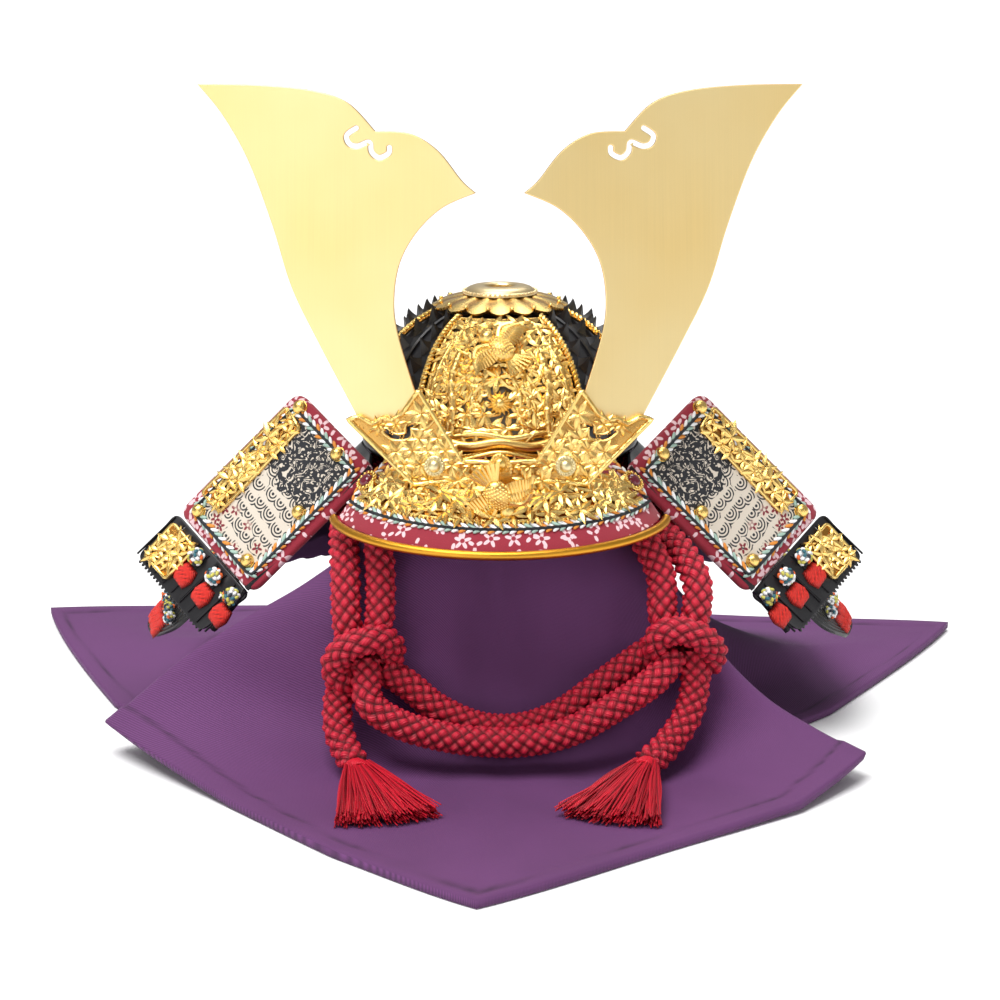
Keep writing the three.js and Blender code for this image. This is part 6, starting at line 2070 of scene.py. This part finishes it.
class HELMET_OT_neck_guard(bpy.types.Operator):
    """Makes the three lames of the neck guard with their slats and rows of lacing"""

    bl_idname = "helmet.neck_guard"
    bl_label = "Neck guard"

    def execute(self, context):
        dice = random.Random(17)
        for k, coarse in enumerate(lame_grids()):
            rows, columns = 14, 241
            grid = finer(coarse, rows, columns, 0.085 if k == 2 else 0.0)
            normal = grid_normals(grid, closed=False)
            outward = grid[..., :2] * normal[..., :2]
            normal[outward.sum(axis=2) < 0] *= -1
            lower = np.linspace(0, 1, rows)[:, None]
            teeth = 0.5 + 0.5 * np.sign(np.sin(np.arange(columns) * math.pi / 2))
            slats = 0.35 * (np.arange(columns) % 4 > 0)
            top = grid + normal * (LAME_THICKNESS - 0.35 + slats[None] * (lower > 0.15))[..., None]
            if k:
                top[-1, :, 2] += 0.9 * teeth
                grid[-1, :, 2] += 0.9 * teeth
            faces = shell_faces(rows, columns)
            shape = Shape()
            shape.add(np.vstack([top.reshape(-1, 3), grid.reshape(-1, 3)]), faces)
            name = f"neck_lame_{k + 1}"
            shape.make(f"lacquered_{name}", finishes("lacquer"), "black_lacquer", [name], angle=35)
            self.lacing(k, grid, normal, dice)
        return {"FINISHED"}

    def lacing(self, number, grid, normal, dice):
        """Two rows on each lame: mixed knots above and vermilion blocks below, as on the small wings."""
        rows, columns = grid.shape[:2]
        shape = Shape()
        run = distances(grid[-1])
        places = np.arange(5.5, run[-1] - 5, LACE_PITCH)
        for place in places:
            c = int(np.clip(np.searchsorted(run, place), 2, columns - 3))
            if number == 0 and not 6 < place < run[-1] - 6:
                continue
            for up, kind in ((5.2, "block"), (13.2, "knot")):
                span = float(np.linalg.norm(grid[-1, c] - grid[0, c]))
                if span < up + 4:
                    continue
                r = (rows - 1) * (1 - up / span)
                low = int(r)
                w = r - low
                point = grid[low, c] * (1 - w) + grid[low + 1, c] * w
                across = grid[low, c + 1] - grid[low, c - 1]
                rise = grid[max(low - 1, 0), c] - grid[min(low + 1, rows - 1), c]
                base = frame_from(point + normal[low, c] * (LAME_THICKNESS + 0.2), across, rise)
                if base[:3, 2] @ normal[low, c] < 0:
                    base = frame_from(point + normal[low, c] * (LAME_THICKNESS + 0.2), -across, rise)
                if kind == "block":
                    lace_block(shape, base, 6.0, 7.4, 0)
                else:
                    silk_ball(shape, moved(base, z=0.9), 2.4, dice, (1, 2, 3, 4, 5, 1))
        keys = finishes("lace", "white", "flame", "teal", "lime", "ink")
        shape.make(f"lacing_{number + 1}", keys, "crimson_cord", angle=60)


class HELMET_OT_wings(bpy.types.Operator):
    """Makes the turned-back wings: leather, flat braid, gilt plates, beads and lacing"""

    bl_idname = "helmet.wings"
    bl_label = "Wings"

    def execute(self, context):
        width = choices("helmet_choices").braid_width / MM
        panel = Shape()
        plane = padded_panel(
            panel, WING_CORNERS, 5, ((0.9, 0), (3.6, 0), (4.6, 0), (5.0, 1), (7.0, 1)), 1.8, 0.7
        )
        keys = finishes("leather", "panel", "lacquer")
        rolled(panel)
        panel.make_pair("wing_{}", keys, "printed_leather", angle=60)

        braid = Shape()
        base = wing_frame()
        loop = rounded(plane, 5, 4.8)
        points = placed(base, np.hstack([loop, np.full((len(loop), 1), 0.6)]))
        points = np.vstack([points, points[:1]])
        ups = np.tile(base[:3, 2], (len(points), 1))
        braid_row(braid, points, ups, width, (0, 1, 2, 3))
        keys = finishes("white", "orange", "sage", "ink")
        rolled(braid)
        braid.make_pair("wing_braid_{}", keys, "crimson_cord", angle=60)

        self.small_wings()
        self.plates()
        for number, (down, out) in enumerate(WING_RIVETS, 1):
            x, y = wing_place(down, out)
            spot = moved(wing_frame(), x, y, 0.3)
            shape = Shape()
            lathe(shape, spot, ((0, 0), (2.6, 0), (2.55, 0.35), (1.9, 0.5), (0, 0.5)), 24)
            ball(shape, moved(spot, z=1.0), (2.45, 2.45, 2.1), 0, 20, 12, 1.0)
            rolled(shape)
            shape.make_pair(
                f"bead_{{}}_{number}", finishes("plain"), "gilt_brass", f"wing_rivet_{{}}_{number}", angle=50
            )
        return {"FINISHED"}

    def small_wings(self):
        dice = random.Random(29)
        slab, laced = Shape(), Shape()
        plane = [wing_place(*corner) for corner in SMALL_WING_CORNERS]
        outline = [tuple(p) for p in rounded(plane, 3)]
        gaps = []
        for out in (0.13, 0.38, 0.63, 0.86):
            a, b = wing_place(1.03, out), wing_place(1.34, out + 0.01)
            gaps.append([tuple(a - (0, 0.3)), tuple(b - (0, 0.3)), tuple(b + (0, 0.3)), tuple(a + (0, 0.3))])
        plate(slab, wing_frame(), [outline, *gaps], 1.4, 0.3, (0, 0))
        for k in range(9):
            out = 0.005 + k * 0.1225
            a, b = wing_place(1.03, out), wing_place(1.345, out + 0.01)
            tube(slab, placed(wing_frame(), [(*a, 0.05), (*b, 0.05)]), 0.6, 6, flat=0.7)
        for k in range(22):
            x, y = wing_place(1.365, 0.07 + k * 0.041)
            spot = moved(wing_frame(), x, y, -0.7)
            ball(slab, spot, (1.0, 0.55, 0.7), 0, 6, 5)
        rolled(slab)
        slab.make_pair("small_wing_{}", finishes("lacquer"), "black_lacquer", angle=40)
        turn = math.degrees(math.atan2(*(wing_place(1.2, 0.5) - wing_place(1.1, 0.5))[::-1]))
        for out in (0.02, 0.27, 0.52):
            x, y = wing_place(1.085, out + 0.03)
            silk_ball(laced, moved(wing_frame(), x, y, 1.7), 3.1, dice, (1, 2, 3, 4, 5, 1))
            x, y = wing_place(1.215, out)
            lace_block(laced, moved(wing_frame(), x, y, 0.6, turn + 90), 8.0, 8.0, 0)
        keys = finishes("lace", "white", "flame", "teal", "lime", "ink")
        laced.make_pair("small_wing_lacing_{}", keys, "crimson_cord", angle=60)

    def plates(self):
        for name, corners, seed, pitch in (
            ("wing_ornament", ORNAMENT_CORNERS, 41, 5.0),
            ("small_wing_ornament", SMALL_ORNAMENT_CORNERS, 43, 4.4),
        ):
            dice = random.Random(seed)
            shape = Shape()
            plane = [wing_place(*corner) for corner in corners]
            outline = [tuple(p) for p in rounded(plane, 2)]
            base = wing_frame(GAP + 1)
            plate(shape, base, [outline], 1.0, 0.25, (0, 0), (0.12, 0.12))
            loop = [(*p, 0.1) for p in rounded(plane, 2, 0.6)]
            tube(shape, placed(base, loop), 0.7, 8, closed=True, rises=0.85)
            xs, ys = [p[0] for p in outline], [p[1] for p in outline]
            size = choices("metal_choices").leaf / MM
            row = 0
            y = min(ys)
            while y < max(ys):
                x = min(xs) + (row % 2) * pitch / 2
                while x < max(xs):
                    spot = (x + dice.uniform(-0.7, 0.7), y + dice.uniform(-0.7, 0.7))
                    if inside(spot, outline) and edge_distance(spot, outline) > 1.2:
                        where = moved(base, *spot, 0.1 + dice.uniform(0, 0.4))
                        room = edge_distance(spot, outline) + 2.4
                        spray(
                            shape, where, dice, dice.choice((5, 6)),
                            min(size * dice.uniform(0.8, 1.05), room), 280, 0.75, dice.uniform(0, 360),
                        )
                    x += pitch
                y += pitch * 0.8
                row += 1
            rolled(shape)
            shape.make_pair(f"openwork_{name}_{{}}", finishes("cast"), "gilt_brass", name + "_{}", angle=45)


# Stage

# Half the side of the paper, in metres
PAPER_HALF = 9


class HELMET_OT_stage(bpy.types.Operator):
    """Sets the camera, the white paper and the soft studio lights"""

    bl_idname = "helmet.stage"
    bl_label = "Stage"

    def execute(self, context):
        scene = context.scene
        data = bpy.data.cameras.new("camera")
        data.lens, data.sensor_width, data.clip_end = 114.84, 36, 50
        camera = bpy.data.objects.new("camera", data)
        camera.location, camera.rotation_euler = (0, -1.0760, 0.3087), (78 * DEG, 0, 0)
        scene.collection.objects.link(camera)
        scene.camera = camera

        corners = ((-1, -1), (1, -1), (1, 1), (-1, 1))
        mesh = bpy.data.meshes.new("paper")
        mesh.from_pydata([(x * PAPER_HALF, y * PAPER_HALF, 0) for x, y in corners], [], [(0, 1, 2, 3)])
        mesh.materials.append(finish("paper"))
        paper = bpy.data.objects.new("paper", mesh)
        scene.collection.objects.link(paper)

        world = bpy.data.worlds.new("studio")
        scene.world = world
        world.use_nodes = True
        tree = world.node_tree
        tree.nodes.clear()
        glow = add_node(tree, "Background", {"Color": linear("#FDFDFF"), "Strength": 0.37})
        add_node(tree, "OutputWorld", {"Surface": glow.outputs[0]})
        scene.view_settings.view_transform = "Standard"

        # A wide soft sun from above the front left whitens all the paper, as a studio's ceiling light does.
        sun = bpy.data.lights.new("sun", "SUN")
        sun.energy, sun.angle = 3.0, 38 * DEG
        self.hang(scene, sun, (-0.3, -0.4, 1.3))
        for name, place, size, power in (
            ("front_left", (-1.1, -1.9, 0.55), 1.3, 6.5),
            ("front_right", (1.5, -1.5, 0.5), 1.0, 2.6),
            ("top_back", (0.1, 0.7, 1.3), 0.8, 5.0),
        ):
            light = bpy.data.lights.new(name, "AREA")
            light.shape, light.size, light.energy = "DISK", size, power
            self.hang(scene, light, place)
        return {"FINISHED"}

    def hang(self, scene, light, place):
        """Puts a light at a place, turned to the middle of the object."""
        lamp = bpy.data.objects.new(light.name, light)
        lamp.location = place
        way = Vector((0, 0, 0.08)) - Vector(place)
        lamp.rotation_euler = way.to_track_quat("-Z", "Y").to_euler()
        scene.collection.objects.link(lamp)


class HELMET_PT_panel(bpy.types.Panel):
    """Lists the pieces of the helmet and their choices"""

    bl_label = "Samurai Helmet"
    bl_idname = "HELMET_PT_panel"
    bl_space_type = "VIEW_3D"
    bl_region_type = "UI"
    bl_category = "Helmet"

    def draw(self, context):
        for title, name, group in GROUPS:
            box = self.layout.box()
            box.label(text=title)
            for key in group.__annotations__:
                box.prop(getattr(context.scene, name), key)
        column = self.layout.column()
        for operator in OPERATORS:
            column.operator(operator.bl_idname)


GROUPS = (
    ("Gilt work", "metal_choices", MetalChoices),
    ("Helmet", "helmet_choices", HelmetChoices),
    ("Cloth and cord", "soft_choices", SoftChoices),
)
OPERATORS = (
    HELMET_OT_stage,
    HELMET_OT_knots,
    HELMET_OT_tassels,
    HELMET_OT_cords,
    HELMET_OT_cloth,
    HELMET_OT_stand,
    HELMET_OT_bowl,
    HELMET_OT_strips,
    HELMET_OT_finial,
    HELMET_OT_front_plate,
    HELMET_OT_visor,
    HELMET_OT_horns,
    HELMET_OT_holder,
    HELMET_OT_sparrow,
    HELMET_OT_neck_guard,
    HELMET_OT_wings,
)


def register():
    for _, name, group in GROUPS:
        bpy.utils.register_class(group)
        setattr(bpy.types.Scene, name, PointerProperty(type=group))
    for operator in OPERATORS:
        bpy.utils.register_class(operator)
    bpy.utils.register_class(HELMET_PT_panel)


def unregister():
    bpy.utils.unregister_class(HELMET_PT_panel)
    for operator in reversed(OPERATORS):
        bpy.utils.unregister_class(operator)
    for _, name, group in reversed(GROUPS):
        delattr(bpy.types.Scene, name)
        bpy.utils.unregister_class(group)


def main():
    register()
    for operator in OPERATORS:
        area, name = operator.bl_idname.split(".")
        getattr(getattr(bpy.ops, area), name)()


if __name__ == "__main__":
    main()
